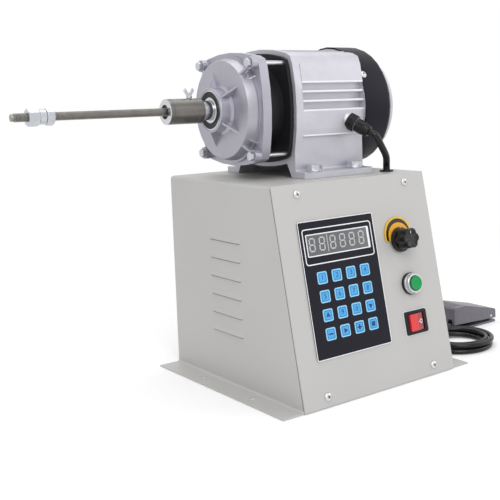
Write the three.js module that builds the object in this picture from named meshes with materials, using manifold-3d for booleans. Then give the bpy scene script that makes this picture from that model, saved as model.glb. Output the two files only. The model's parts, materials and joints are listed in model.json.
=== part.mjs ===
// Wire coil winding machine: sloped sheet-metal cabinet, geared motor, threaded spindle and foot pedal.
// Millimetres, +Z up. The origin is the centre of the cabinet's footprint, on the floor.
import * as THREE from "three";
import Module from "manifold-3d";
import { mergeVertices } from "three/addons/utils/BufferGeometryUtils.js";

const wasm = await Module();
wasm.setup();

// Clearances shared by all pieces
const seatGap = 0.3;
const runningGap = 0.4;
const cutOverrun = 2;
const weld = 0.6;
const mergeTolerance = 0.0002;

// Cabinet
const cabinetWidth = 250;
const cabinetDepth = 293;
const cabinetHeight = 263;
const sheet = 1.5;
const topBendRadius = 5;
const footBendRadius = 2.5;
const footFlangeWidth = 30;
const footHoleRadius = 4;
const footHoleSpacing = 115;
const footHoleFromSide = 13.6;
const panelThickness = 2;
const panelBottomGap = 0.8;
const lipWidth = 20;
const lipEndGap = 6;
const motorFrontLedge = 33.5;
const motorBackLedge = 13;

// Front panel screws, measured from the panel's edges
const panelScrewInset = 36;
const panelScrewBottom = 12.9;
const panelScrewTop = 12.4;
const screwShankRadius = 1.9;
const screwHeadRadius = 5;
const screwHeadHeight = 2.4;
const screwLength = 8;
const screwRecessRadius = 2;
const screwRecessDepth = 1.3;

// Keypad overlay and counter, placed on the panel by distance from its middle and up its slope
const overlayFromSide = 28.4;
const controlColumnWidth = 102;
const overlayFromTop = 46.1;
const overlayFromBottom = 55.5;
const overlayThickness = 1;
const overlayCornerRadius = 2.5;
const keyRows = 4;
const keyColumns = 4;
const keySideGap = 4.7;
const keyRowGap = 5.4;
const keyCornerRadius = 2.5;
const keyRise = 0.6;
const keypadFromLeft = 15.3;
const keypadFromRight = 13.5;
const keypadFromBottom = 17.5;
const displayAboveKeys = 5.2;
const displaySideMargin = 5.8;
const displayHeight = 44;
const displayFromTop = 9.5;
const displayRise = 0.4;
const counterSideMargin = 9.8;
const counterEndMargin = 13.5;
const counterDepth = 32;

// Speed control
const knobFromSide = 62.7;
const knobUpShare = 0.6776;
const dialRadius = 23.5;
const dialCentreRise = 6.9;
const dialLowerRadius = 15.5;
const dialThickness = 1.6;
const dialTierRadius = 17.6;
const dialTierCentreRise = 5;
const dialTierRise = 1.6;
const dialBushingClearRadius = 8;
const knobSkirtRadius = 16.5;
const knobSkirtHeight = 4;
const knobGripRadius = 14;
const knobGripHeight = 18.2;
const knobFluteCount = 6;
const knobFluteRadius = 5;
const knobFluteDepth = 1.9;
const potBodyRadius = 12;
const potBodyDepth = 18;
const potBushingRadius = 4.6;
const potNutRadius = 7;
const potNutHeight = 2.4;
const potShaftRadius = 3;
const potShaftReach = 12;

// Push button
const buttonFromSide = 55;
const buttonUpShare = 0.4587;
const buttonHoleRadius = 11.2;
const gasketRadius = 14.2;
const gasketThickness = 1.7;
const bezelRadius = 13.6;
const bezelFrontRadius = 12.8;
const bezelHeight = 9;
const bezelWall = 1.2;
const capRadius = 11.3;
const capProud = 2;
const capTravel = 4;
const capDepth = 8;
const buttonBodyDepth = 30;

// Rocker switch
const rockerFromSide = 55.4;
const rockerUpShare = 0.2718;
const rockerFrameWidth = 37.2;
const rockerFrameHeight = 30.1;
const rockerFrameThickness = 2.2;
const rockerBodyDepth = 24;
const rockerBodyMargin = 3;
const rockerSpan = 25.4;
const rockerLength = 22;
const rockerPivotRise = 1.2;
const rockerFloorDepth = 9.6;
const rockerRidge = 3.4;
const rockerFaceAngle = THREE.MathUtils.degToRad(9);
const rockerHeelAngle = THREE.MathUtils.degToRad(33);

// Back panel fittings
const ventCount = 6;
const ventLength = 70;
const ventHeight = 4;
const ventPitch = 11;
const ventLowest = 150;
const glandHoleRadius = 8;
const glandNutRadius = 10;
const glandNutHeight = 5;
const glandNeckRadius = 7.5;
const glandNoseRadius = 5.6;
const glandNoseLength = 9;
const glandInnerLength = 8;
const pedalGlandFromSide = 28;
const pedalGlandHeight = 30;
const inletFromSide = 47;
const inletHeight = 40;
const inletFlangeWidth = 50;
const inletFlangeHeight = 28;
const inletFlangeThickness = 2.5;
const inletBodyWidth = 30;
const inletBodyHeight = 22;
const inletBodyDepth = 20;
const inletWall = 2.5;
const inletPinLength = 11;
const inletPinWidth = 2;
const inletPinHeight = 5;
const inletPinPitch = 7;

// Driver inside the cabinet
const driverWidth = 130;
const driverDepth = 90;
const driverHeight = 46;
const driverFinCount = 8;
const driverFinThickness = 2;
const driverFinHeight = 14;
const driverAcross = 20;
const driverBack = 10;

// Stations along the motor axis, as lengths that follow each other from the motor's mounting face
const motorFaceStation = -44;
const motorLength = 114;
const motorHalfSize = 77.5;
const motorFootDrop = 12.5;
const motorSideBulge = 6.5;
const motorCornerRadius = 15;
const motorFlangeThickness = 11;
const barrelRadius = 68;
const statorBoreRadius = 62;
const rearWallThickness = 12;
const spigotLength = 8;
const finPitch = 12.2;
const finThickness = 3;
const sideFinLowest = -3.6;
const sideFinCount = 6;
const topFinCount = 9;
const sideGrooveInner = 55;
const topGrooveInner = 57;
const skirtHalfWidth = 71;
const skirtTop = 36.5;
const legInnerTopHalf = 50;
const legInnerTopDrop = 66;
const legInnerBottomHalf = 62.6;
const footHalfWidth = 96;
const footThickness = 8;
const footFillet = 3;
const footCornerClip = 6;
const footBoltSpacing = 67.4;
const footBoltFromFace = 21;
const footBoltHalfSpan = 84;
const footBoltShankRadius = 4.2;
const footBoltHoleRadius = 4.7;
const footBoltHeadAcross = 17;
const footBoltHeadHeight = 6.4;
const footWasherRadius = 9.4;
const footWasherThickness = 1.8;
const footNutHeight = 8;

// Tie bolts through the gearbox corners
const tieBoltHalfSpan = 58;
const tieBoltRadius = 3;
const tieBoltHoleRadius = 3.4;
const tieBoltHeadAcross = 10.4;
const tieBoltHeadHeight = 4.2;
const tieBoltThread = 10;

// Ring gear housing
const ringLength = 34.7;
const ringRadius = 57;
const ringWallThickness = 12.5;
const ringFlangeHalfSize = 72;
const ringFlangeBulge = 6;
const ringFlangeCornerRadius = 14;
const ringFlangeThickness = 5;
const gearModule = 1.5;
const ringTeeth = 60;
const sunTeeth = 12;
const planetTeeth = 24;
const planetCount = 3;
const gearLength = 18;
const gearBacklash = 0.45;
const gearTipRelief = 0.35;
const pressureAngle = THREE.MathUtils.degToRad(20);
const planetPinRadius = 5;

// Gear cover
const coverHalfSize = 73;
const coverSideBulge = 6;
const coverCornerRadius = 14;
const coverFlangeThickness = 12.6;
const coverDomeDepth = 16.4;
const coverRimRadius = 64;
const coverRimFillet = 2.5;
const coverSkirtRadius = 66.5;
const coverStepRadius = 69.5;
const coverStepLength = 3.2;
const coverBossLength = 17;
const coverBossRadius = 28.5;
const coverBossFoot = 32;
const coverWall = 6;
const coverCavityRadius = 52;
const gussetCount = 5;
const gussetThickness = 3;
const gussetReach = 51;
const gussetRise = 13;
const rimGussetReach = 71.5;
const rimGussetLength = 11;
const boltBossRadius = 8;
const boltBossLength = 9;
const bossRibReach = 75;
const bossRibLength = 6.2;

// Output shaft, bearings and coupler
const outputBearingRadius = 25.5;
const outputBearingWidth = 15;
const outputShaftRadius = 12.5;
const carrierRadius = 43;
const carrierThickness = 9;
const couplerRadius = 16;
const couplerLength = 49.3;
const couplerFromBoss = 14;
const couplerShaftDepth = 21;
const couplerRodDepth = 25;
const couplerCounterboreRadius = 9;
const couplerCounterboreDepth = 3;
const couplerChamfer = 1;
const wingScrewFromEnd = 14.6;
const wingScrewShankRadius = 2.7;
const wingScrewNeckRadius = 3.6;
const wingScrewNeckHeight = 3;
const wingScrewHeight = 12.5;
const wingSpan = 15;
const wingThickness = 2.2;
const wingRootHalf = 2.6;

// Spindle rod and its clamp nuts
const rodRadius = 5;
const rodLength = 214;
const rodPitch = 1.5;
const rodTipChamfer = 1;
const nutAcross = 18;
const outerNutLength = 12.6;
const collarLength = 7.4;
const collarRadius = 8.8;
const innerNutLength = 9;
const nutFromTip = 18;
const nutChamfer = 1.2;

// Rotor and fan
const rotorShaftRadius = 7.5;
const rotorCoreRadius = 39.4;
const rotorCoreLength = 68;
const statorLength = 72;
const statorInnerRadius = 40.4;
const statorSlotCount = 12;
const statorSlotDepth = 12;
const rotorBearingRadius = 17.4;
const rotorBearingWidth = 9;
const fanHubRadius = 15;
const fanRadius = 72;
const fanWidth = 22;
const fanBladeCount = 7;
const fanBladeThickness = 2;
const fanDiscThickness = 2.4;
const fanFromWall = 14;
const fanShaftReach = 34;

// Fan cover and its guard
const fanCoverRadius = 82;
const fanCoverLength = 47;
const fanCoverWall = 2;
const fanCoverCornerRadius = 7;
const guardOpeningRadius = 64;
const guardFlangeRadius = 68;
const guardFlangeThickness = 1.8;
const guardDepth = 23;
const guardRingCount = 5;
const guardRingWire = 2.6;
const guardSpokeCount = 4;
const guardSpokeWidth = 4;
const guardCapRadius = 16;

// Motor lead
const motorGlandAlong = 91;
const motorGlandDrop = 21;
const motorGlandBossRadius = 10.5;
const motorGlandBossProud = 8;
const motorGlandBossSunk = 12;
const motorGlandLength = 20;
const motorGlandRadius = 9.4;
const motorGlandNoseRadius = 7;
const motorGlandRibCount = 8;
const motorGlandDirection = new THREE.Vector3(0.42, -0.77, -0.48).normalize();
const motorLeadRadius = 4.8;
const grommetFromMotor = 21;
const grommetFlangeRadius = 9.5;
const grommetFlangeHeight = 2.2;
const grommetNeckRadius = 7.2;
const grommetDepth = 4;

// Foot pedal, placed by its left front corner on the floor
const pedalLeft = 258;
const pedalFront = -23.5;
const pedalLength = 95;
const pedalWidth = 56;
const pedalHeelHeight = 37;
const pedalToeHeight = 21;
const pedalFlatLength = 25;
const pedalPlate = 3;
const pedalWall = 3;
const pedalSkirtHeel = 10.5;
const pedalSkirtToe = 6;
const pedalEdgeRadius = 2.5;
const pedalPinRadius = 2.5;
const pedalPinFromToe = 10;
const pedalPinHeight = 10.5;
const pedalEarThickness = 4;
const pedalEarHalfWidth = 5.5;
const pedalTravel = 7;
const pedalEarInset = 5.5;
const pedalSwitchLength = 28;
const pedalSwitchWidth = 14;
const pedalSwitchHeight = 24.6;
const pedalSwitchFromHeel = 22;
const pedalPlungerRadius = 3;
const pedalPlungerProud = 2;
const pedalGripCount = 6;
const pedalGripWidth = 1.6;
const pedalGripDepth = 0.8;
const pedalGripPitch = 5;
const pedalBossRadius = 5.5;
const pedalBossLength = 9;
const pedalBossFromFront = 11.5;

// Pedal cord: tube, loops and the heights of its two layers
const cordRadius = 3.5;
const coilRadius = 52;
const coilPitch = 8;
const coilLayerTurns = 2;
const coilLayerRise = 7.6;
const cordStraight = 6;
const coilStepsPerTurn = 24;
const coilCentreX = 212;
const coilCentreForward = 72.5;
const cordClearance = 0.4;

// Sizes that follow from the ones above
const axisRise = motorHalfSize + motorFootDrop;
const axisBack = cabinetDepth / 2 - motorBackLedge - footHalfWidth;
const frontSetback = cabinetDepth - motorBackLedge - 2 * footHalfWidth - motorFrontLedge;
const slope = Math.atan2(frontSetback, cabinetHeight);
const panelLength = Math.hypot(frontSetback, cabinetHeight);
const halfWidth = cabinetWidth / 2;
const halfDepth = cabinetDepth / 2;
const panelSeat = panelThickness + seatGap;
const overlayWidth = cabinetWidth - overlayFromSide - controlColumnWidth;
const overlayHeight = panelLength - overlayFromTop - overlayFromBottom;
const overlayCentreAcross = overlayFromSide + overlayWidth / 2 - halfWidth;
const overlayCentreUp = overlayFromBottom + overlayHeight / 2;
const keypadWidth = overlayWidth - keypadFromLeft - keypadFromRight;
const keypadHeight = overlayHeight - keypadFromBottom - displayAboveKeys - displayHeight - displayFromTop;
const keypadCentreAcross = overlayFromSide - halfWidth + keypadFromLeft + keypadWidth / 2;
const keypadCentreUp = overlayFromBottom + keypadFromBottom + keypadHeight / 2;
const keyPitchAcross = keypadWidth / keyColumns;
const keyPitchUp = keypadHeight / keyRows;
const keyWidth = keyPitchAcross - keySideGap;
const keyHeight = keyPitchUp - keyRowGap;
const displayWidth = overlayWidth - 2 * displaySideMargin;
const displayCentreUp = panelLength - overlayFromTop - displayFromTop - displayHeight / 2;
const counterWidth = overlayWidth - 2 * counterSideMargin;
const counterHeight = overlayHeight - 2 * counterEndMargin;
const knobAcross = halfWidth - knobFromSide;
const knobUp = panelLength * knobUpShare;
const buttonAcross = halfWidth - buttonFromSide;
const buttonUp = panelLength * buttonUpShare;
const rockerAcross = halfWidth - rockerFromSide;
const rockerUp = panelLength * rockerUpShare;
const pedalGlandAcross = halfWidth - pedalGlandFromSide;
const inletAcross = inletFromSide - halfWidth;
const grommetForward = footHalfWidth - axisBack;
const motorRearStation = motorFaceStation + motorLength;
const grommetAcross = motorRearStation + grommetFromMotor;
const ringFrontStation = motorFaceStation - seatGap - ringLength;
const coverFlangeStation = ringFrontStation - seatGap - coverFlangeThickness;
const coverFaceStation = coverFlangeStation - coverDomeDepth;
const coverBossStation = coverFaceStation - coverBossLength;
const coverBackStation = coverFlangeStation + coverFlangeThickness;
const couplerRightStation = coverBossStation - couplerFromBoss;
const couplerLeftStation = couplerRightStation - couplerLength;
const sunRadius = gearModule * sunTeeth / 2;
const planetRadius = gearModule * planetTeeth / 2;
const planetOrbit = sunRadius + planetRadius;
const fanCoverStart = motorRearStation + seatGap;
const fanCoverEnd = fanCoverStart + fanCoverLength;
const roundSides = 32;
const smallSides = 16;

// Colours, roughness and metalness of the finishes
const finishes = {
  cabinetPaint: ["#c4c4c0", 0.5, 0.15],
  castAluminium: ["#c8c8cf", 0.45, 0.6],
  blackPaint: ["#23232a", 0.4, 0.2],
  blackPlastic: ["#1c1c20", 0.45, 0],
  overlay: ["#26262c", 0.35, 0],
  yellow: ["#ebbe28", 0.45, 0],
  green: ["#14a55a", 0.3, 0],
  red: ["#e13237", 0.3, 0],
  chrome: ["#d8d8dc", 0.2, 1],
  zinc: ["#c9cbcf", 0.4, 0.8],
  darkSteel: ["#6e6c6a", 0.35, 0.9],
  rubber: ["#141416", 0.6, 0],
  pedalPaint: ["#7a787e", 0.55, 0.2],
  laminations: ["#8c8c90", 0.5, 0.7],
  copper: ["#b5653a", 0.4, 0.8],
};

function finish(name) {
  const [color, roughness, metalness] = finishes[name];
  return new THREE.MeshStandardMaterial({ color, roughness, metalness });
}

// The solid that a closed geometry encloses
function solidOf(geometry) {
  const bare = geometry.clone();
  bare.deleteAttribute("normal");
  bare.deleteAttribute("uv");
  const merged = mergeVertices(bare, mergeTolerance);
  const positions = merged.attributes.position;
  const index = merged.index.array;
  const triangles = [];
  let volume = 0;
  const corner = [new THREE.Vector3(), new THREE.Vector3(), new THREE.Vector3()];
  for (let i = 0; i < index.length; i += 3) {
    const [a, b, c] = [index[i], index[i + 1], index[i + 2]];
    if (a === b || b === c || c === a) continue;
    triangles.push(a, b, c);
    [a, b, c].forEach((vertex, k) => corner[k].fromBufferAttribute(positions, vertex));
    volume += corner[0].dot(corner[1].clone().cross(corner[2]));
  }
  if (volume < 0) triangles.reverse();
  const vertProperties = new Float32Array(positions.array);
  const triVerts = new Uint32Array(triangles);
  return new wasm.Manifold(new wasm.Mesh({ numProp: 3, vertProperties, triVerts }));
}

// The geometry of a solid's surface
function geometryOf(solid) {
  const mesh = solid.getMesh();
  const geometry = new THREE.BufferGeometry();
  geometry.setAttribute("position", new THREE.Float32BufferAttribute(mesh.vertProperties, 3));
  geometry.setIndex(Array.from(mesh.triVerts));
  geometry.computeVertexNormals();
  return geometry;
}

function join(...geometries) {
  return geometries.map(solidOf).reduce((whole, piece) => whole.add(piece));
}

function cut(solid, ...geometries) {
  return geometries.map(solidOf).reduce((rest, tool) => rest.subtract(tool), solid);
}

function addPart(parent, name, solid, finishName) {
  const mesh = new THREE.Mesh(geometryOf(solid), finish(finishName));
  mesh.name = name;
  parent.add(mesh);
  return mesh;
}

// Primitive bodies, placed where they stand
function box(fromX, toX, fromY, toY, fromZ, toZ) {
  const geometry = new THREE.BoxGeometry(toX - fromX, toY - fromY, toZ - fromZ);
  return geometry.translate((fromX + toX) / 2, (fromY + toY) / 2, (fromZ + toZ) / 2);
}

function rodX(radius, from, to, y = 0, z = 0, sides = smallSides) {
  const geometry = new THREE.CylinderGeometry(radius, radius, to - from, sides);
  return geometry.rotateZ(-Math.PI / 2).translate((from + to) / 2, y, z);
}

function rodY(radius, from, to, x = 0, z = 0, sides = smallSides) {
  const geometry = new THREE.CylinderGeometry(radius, radius, to - from, sides);
  return geometry.translate(x, (from + to) / 2, z);
}

function rodZ(radius, from, to, x = 0, y = 0, sides = smallSides) {
  const geometry = new THREE.CylinderGeometry(radius, radius, to - from, sides);
  return geometry.rotateX(Math.PI / 2).translate(x, y, (from + to) / 2);
}

// A profile of [station, radius] pairs turned about the X axis
function turnedX(profile, sides = roundSides) {
  const points = profile.map(([station, radius]) => new THREE.Vector2(radius, station));
  return new THREE.LatheGeometry(points, sides).rotateZ(-Math.PI / 2);
}

// A profile of [height, radius] pairs turned about the Z axis
function turnedZ(profile, sides = smallSides) {
  const points = profile.map(([height, radius]) => new THREE.Vector2(radius, height));
  return new THREE.LatheGeometry(points, sides).rotateX(Math.PI / 2);
}

// A section drawn in Y and Z, extruded along X
function extrudeX(shape, from, to, curveSegments = 6) {
  const settings = { depth: to - from, bevelEnabled: false, curveSegments };
  const along = new THREE.Matrix4().makeBasis(
    new THREE.Vector3(0, 1, 0),
    new THREE.Vector3(0, 0, 1),
    new THREE.Vector3(1, 0, 0),
  );
  return new THREE.ExtrudeGeometry(shape, settings).applyMatrix4(along).translate(from, 0, 0);
}

// A section drawn in X and Z, extruded along Y
function extrudeY(shape, from, to, curveSegments = 6) {
  const settings = { depth: to - from, bevelEnabled: false, curveSegments };
  return new THREE.ExtrudeGeometry(shape, settings).rotateX(Math.PI / 2).translate(0, to, 0);
}

// A section drawn in X and Y, extruded along Z
function extrudeZ(shape, from, to, curveSegments = 6) {
  const settings = { depth: to - from, bevelEnabled: false, curveSegments };
  return new THREE.ExtrudeGeometry(shape, settings).translate(0, 0, from);
}

function polygon(points) {
  return new THREE.Shape(points.map(([x, y]) => new THREE.Vector2(x, y)));
}

function roundedRectangle(centreX, centreY, width, height, radius) {
  const left = centreX - width / 2;
  const right = centreX + width / 2;
  const low = centreY - height / 2;
  const high = centreY + height / 2;
  const shape = new THREE.Shape();
  shape.moveTo(left + radius, low);
  shape.lineTo(right - radius, low);
  shape.absarc(right - radius, low + radius, radius, -Math.PI / 2, 0);
  shape.lineTo(right, high - radius);
  shape.absarc(right - radius, high - radius, radius, 0, Math.PI / 2);
  shape.lineTo(left + radius, high);
  shape.absarc(left + radius, high - radius, radius, Math.PI / 2, Math.PI);
  shape.lineTo(left, low + radius);
  shape.absarc(left + radius, low + radius, radius, Math.PI, 1.5 * Math.PI);
  return shape;
}

function hexagonShape(acrossFlats) {
  const corner = acrossFlats / Math.sqrt(3);
  const points = [];
  for (let k = 0; k < 6; k += 1) {
    const angle = (k + 0.5) * Math.PI / 3;
    points.push([corner * Math.cos(angle), corner * Math.sin(angle)]);
  }
  return polygon(points);
}

// A square whose sides swell outwards and whose corners are round
function bulgedSquare(halfSize, bulge, cornerRadius) {
  const sideSteps = 4;
  const cornerSteps = 2;
  const cornerCentre = halfSize - bulge - cornerRadius;
  const sideRadius = (cornerCentre ** 2 + bulge ** 2) / (2 * bulge);
  const points = [];
  for (let side = 0; side < 4; side += 1) {
    const turn = side * Math.PI / 2;
    const put = (along, out) => points.push([
      out * Math.cos(turn) - along * Math.sin(turn),
      out * Math.sin(turn) + along * Math.cos(turn),
    ]);
    for (let step = 0; step < sideSteps; step += 1) {
      const along = cornerCentre * (2 * step / sideSteps - 1);
      put(along, halfSize - sideRadius + Math.sqrt(sideRadius ** 2 - along ** 2));
    }
    for (let step = 0; step < cornerSteps; step += 1) {
      const angle = step / cornerSteps * Math.PI / 2;
      const along = cornerCentre + cornerRadius * Math.sin(angle);
      put(along, cornerCentre + cornerRadius * Math.cos(angle));
    }
  }
  return polygon(points);
}

// The four corners of a square pattern, as [y, z] signs
const cornerSigns = [[-1, 1], [1, 1], [1, -1], [-1, -1]];

const machine = new THREE.Group();
machine.name = "wire_coil_winding_machine";

// Everything on the sloped panel is modelled across it, up it and out of it
const panel = new THREE.Group();
panel.position.set(0, -halfDepth, 0);
panel.rotation.x = Math.PI / 2 - slope;
machine.add(panel);
panel.updateMatrixWorld(true);

// Cabinet wrapper: both sides, the top and the foot flanges folded from one sheet
function wrapperOutline() {
  const shape = new THREE.Shape();
  const footEnd = halfWidth + footFlangeWidth;
  const inner = halfWidth - sheet;
  const quarter = Math.PI / 2;
  const footBendInner = footBendRadius + sheet;
  shape.moveTo(-footEnd, 0);
  shape.lineTo(-halfWidth - footBendRadius, 0);
  shape.absarc(-halfWidth - footBendRadius, footBendInner, footBendInner, -quarter, 0);
  shape.lineTo(-inner, cabinetHeight - topBendRadius);
  shape.absarc(-halfWidth + topBendRadius, cabinetHeight - topBendRadius, topBendRadius - sheet,
    Math.PI, quarter, true);
  shape.lineTo(halfWidth - topBendRadius, cabinetHeight - sheet);
  shape.absarc(halfWidth - topBendRadius, cabinetHeight - topBendRadius, topBendRadius - sheet,
    quarter, 0, true);
  shape.lineTo(inner, footBendInner);
  shape.absarc(halfWidth + footBendRadius, footBendInner, footBendInner, Math.PI, 3 * quarter);
  shape.lineTo(footEnd, 0);
  shape.lineTo(footEnd, sheet);
  shape.lineTo(halfWidth + footBendRadius, sheet);
  shape.absarc(halfWidth + footBendRadius, footBendInner, footBendRadius, 3 * quarter, Math.PI, true);
  shape.lineTo(halfWidth, cabinetHeight - topBendRadius);
  shape.absarc(halfWidth - topBendRadius, cabinetHeight - topBendRadius, topBendRadius, 0, quarter);
  shape.lineTo(-halfWidth + topBendRadius, cabinetHeight);
  shape.absarc(-halfWidth + topBendRadius, cabinetHeight - topBendRadius, topBendRadius,
    quarter, Math.PI);
  shape.lineTo(-halfWidth, footBendInner);
  shape.absarc(-halfWidth - footBendRadius, footBendInner, footBendRadius, 0, -quarter, true);
  shape.lineTo(-footEnd, sheet);
  return shape;
}

// The wedge in front of the seat that the sloped panel lies on
function frontWedge() {
  const seat = panelSeat / Math.cos(slope);
  const lineAt = (height) => -halfDepth + seat + height * Math.tan(slope);
  const low = -cutOverrun;
  const high = cabinetHeight + cutOverrun;
  const front = -halfDepth - cutOverrun;
  const outline = polygon([[front, low], [lineAt(low), low], [lineAt(high), high], [front, high]]);
  const reach = halfWidth + footFlangeWidth + cutOverrun;
  return extrudeX(outline, -reach, reach);
}

// A lip behind the panel, with the holes of two panel screws
function panelLip(fromUp, toUp, screwUp) {
  const reach = halfWidth - sheet - lipEndGap;
  const lip = box(-reach, reach, fromUp, toUp, -panelSeat - sheet, -panelSeat);
  const holes = [-1, 1].map((side) => rodZ(screwShankRadius + seatGap, -panelSeat - sheet - cutOverrun,
    -panelSeat + cutOverrun, side * (halfWidth - panelScrewInset), screwUp, 12));
  const solid = cut(solidOf(lip), ...holes);
  return solidOf(geometryOf(solid).applyMatrix4(panel.matrixWorld));
}

function footBoltPlaces() {
  const firstStation = motorFaceStation + footBoltFromFace;
  const stations = [firstStation, firstStation + footBoltSpacing];
  return stations.flatMap((x) => [-1, 1].map((side) => [x, side * footBoltHalfSpan]));
}

function cabinetWrapper() {
  let solid = solidOf(extrudeY(wrapperOutline(), -halfDepth, halfDepth, 3));
  solid = cut(solid, frontWedge());
  const lipMiddle = panelSeat + sheet / 2;
  const lipEnd = (cabinetHeight - sheet / 2 + lipMiddle * Math.sin(slope)) / Math.cos(slope);
  solid = solid.add(panelLip(panelLength - lipWidth - sheet, lipEnd, panelLength - panelScrewTop));
  const holeX = halfWidth + footHoleFromSide;
  for (const side of [-1, 1]) {
    for (const end of [-1, 1]) {
      solid = cut(solid, rodZ(footHoleRadius, -cutOverrun, sheet + cutOverrun, side * holeX,
        end * footHoleSpacing / 2, 12));
    }
  }
  const topFrom = cabinetHeight - sheet - cutOverrun;
  const topTo = cabinetHeight + cutOverrun;
  for (const [x, y] of footBoltPlaces()) {
    solid = cut(solid, rodZ(footBoltHoleRadius, topFrom, topTo, x, axisBack + y, 10));
  }
  return cut(solid, rodZ(grommetNeckRadius + seatGap, topFrom, topTo, grommetAcross, -grommetForward));
}

addPart(machine, "cabinet_wrapper", cabinetWrapper(), "cabinetPaint");

// Base plate with lips that the front and back panels lie against
function basePlate() {
  const reach = halfWidth - sheet - seatGap;
  const front = -halfDepth + panelSeat / Math.cos(slope) + sheet;
  const plate = box(-reach, reach, front, halfDepth - sheet - seatGap, 0, sheet);
  const backLip = box(-reach + lipEndGap, reach - lipEndGap, halfDepth - 2 * sheet - seatGap,
    halfDepth - sheet - seatGap, 0, lipWidth);
  const frontLip = panelLip(sheet, lipWidth, panelScrewBottom);
  return join(plate, backLip).add(frontLip);
}

addPart(machine, "base_plate", basePlate(), "cabinetPaint");

function panelScrewPlaces() {
  const heights = [panelLength - panelScrewTop, panelScrewBottom];
  return heights.flatMap((up) => [-1, 1].map((side) => [side * (halfWidth - panelScrewInset), up]));
}

// Front panel with the openings of the controls
function frontPanel() {
  let solid = solidOf(box(-halfWidth, halfWidth, panelBottomGap, panelLength, -panelThickness, 0));
  const from = -panelThickness - cutOverrun;
  const holes = panelScrewPlaces().map(([x, y]) =>
    rodZ(screwShankRadius + seatGap, from, cutOverrun, x, y, 12));
  holes.push(rodZ(potBushingRadius + seatGap, from, cutOverrun, knobAcross, knobUp));
  holes.push(rodZ(buttonHoleRadius + seatGap, from, cutOverrun, buttonAcross, buttonUp));
  const counterHalf = counterWidth / 2 + seatGap;
  const counterUp = counterHeight / 2 + seatGap;
  holes.push(box(overlayCentreAcross - counterHalf, overlayCentreAcross + counterHalf,
    overlayCentreUp - counterUp, overlayCentreUp + counterUp, from, cutOverrun));
  const rockerHalf = rockerFrameWidth / 2 - rockerBodyMargin + seatGap;
  const rockerHalfUp = rockerFrameHeight / 2 - rockerBodyMargin + seatGap;
  holes.push(box(rockerAcross - rockerHalf, rockerAcross + rockerHalf,
    rockerUp - rockerHalfUp, rockerUp + rockerHalfUp, from, cutOverrun));
  return cut(solid, ...holes);
}

addPart(panel, "front_panel", frontPanel(), "cabinetPaint");

// Round-headed screw with a cross recess, seen from outside the panel
function panelScrew(x, y) {
  const profile = [
    [-screwLength, 0],
    [-screwLength, screwShankRadius],
    [seatGap, screwShankRadius],
    [seatGap, screwHeadRadius],
    [seatGap + screwHeadHeight * 0.45, screwHeadRadius * 0.93],
    [seatGap + screwHeadHeight * 0.85, screwHeadRadius * 0.62],
    [seatGap + screwHeadHeight, 0],
  ];
  const top = seatGap + screwHeadHeight;
  const slotHalf = screwRecessRadius / 4;
  const bottom = top - screwRecessDepth;
  const across = box(-screwRecessRadius, screwRecessRadius, -slotHalf, slotHalf, bottom, top + cutOverrun);
  const along = box(-slotHalf, slotHalf, -screwRecessRadius, screwRecessRadius, bottom, top + cutOverrun);
  const screw = cut(solidOf(turnedZ(profile, 12)), across, along);
  return solidOf(geometryOf(screw).translate(x, y, 0));
}

panelScrewPlaces().forEach(([x, y], number) => {
  addPart(panel, `front_screw_${number + 1}`, panelScrew(x, y), "chrome");
});

// Membrane overlay: one sheet with embossed keys and a raised display frame
function keypadOverlay() {
  const back = seatGap;
  const face = back + overlayThickness;
  const base = roundedRectangle(overlayCentreAcross, overlayCentreUp, overlayWidth, overlayHeight,
    overlayCornerRadius);
  let solid = solidOf(extrudeZ(base, back, face, 3));
  const frame = roundedRectangle(keypadCentreAcross, displayCentreUp, displayWidth, displayHeight,
    overlayCornerRadius);
  solid = solid.add(solidOf(extrudeZ(frame, face - overlayThickness / 2, face + displayRise, 3)));
  for (let row = 0; row < keyRows; row += 1) {
    for (let column = 0; column < keyColumns; column += 1) {
      const x = keypadCentreAcross + (column - (keyColumns - 1) / 2) * keyPitchAcross;
      const y = keypadCentreUp + ((keyRows - 1) / 2 - row) * keyPitchUp;
      const key = roundedRectangle(x, y, keyWidth, keyHeight, keyCornerRadius);
      solid = solid.add(solidOf(extrudeZ(key, face - overlayThickness / 2, face + keyRise, 1)));
    }
  }
  return solid;
}

addPart(panel, "keypad_overlay", keypadOverlay(), "overlay");

const counterBody = box(overlayCentreAcross - counterWidth / 2, overlayCentreAcross + counterWidth / 2,
  overlayCentreUp - counterHeight / 2, overlayCentreUp + counterHeight / 2, -counterDepth, 0);
addPart(panel, "counter_module", solidOf(counterBody), "blackPlastic");

// Speed dial plate: an arched upper half, a smaller lower half and a raised inner tier
function dialPlate() {
  const back = seatGap;
  const face = back + dialThickness;
  const archUp = knobUp + dialCentreRise;
  const dip = Math.asin(dialCentreRise / dialRadius);
  const arch = new THREE.Shape();
  arch.absarc(knobAcross, archUp, dialRadius, -dip, Math.PI + dip);
  const lower = new THREE.Shape();
  lower.absarc(knobAcross, knobUp, dialLowerRadius, -Math.PI, 0);
  const tier = rodZ(dialTierRadius, face - dialThickness / 2, face + dialTierRise, knobAcross,
    knobUp + dialTierCentreRise, 24);
  const solid = join(extrudeZ(arch, back, face, 20), extrudeZ(lower, back, face, 12), tier);
  const clear = rodZ(dialBushingClearRadius, back - cutOverrun, face + dialTierRise + cutOverrun,
    knobAcross, knobUp);
  return cut(solid, clear);
}

addPart(panel, "dial_plate", dialPlate(), "yellow");

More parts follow.
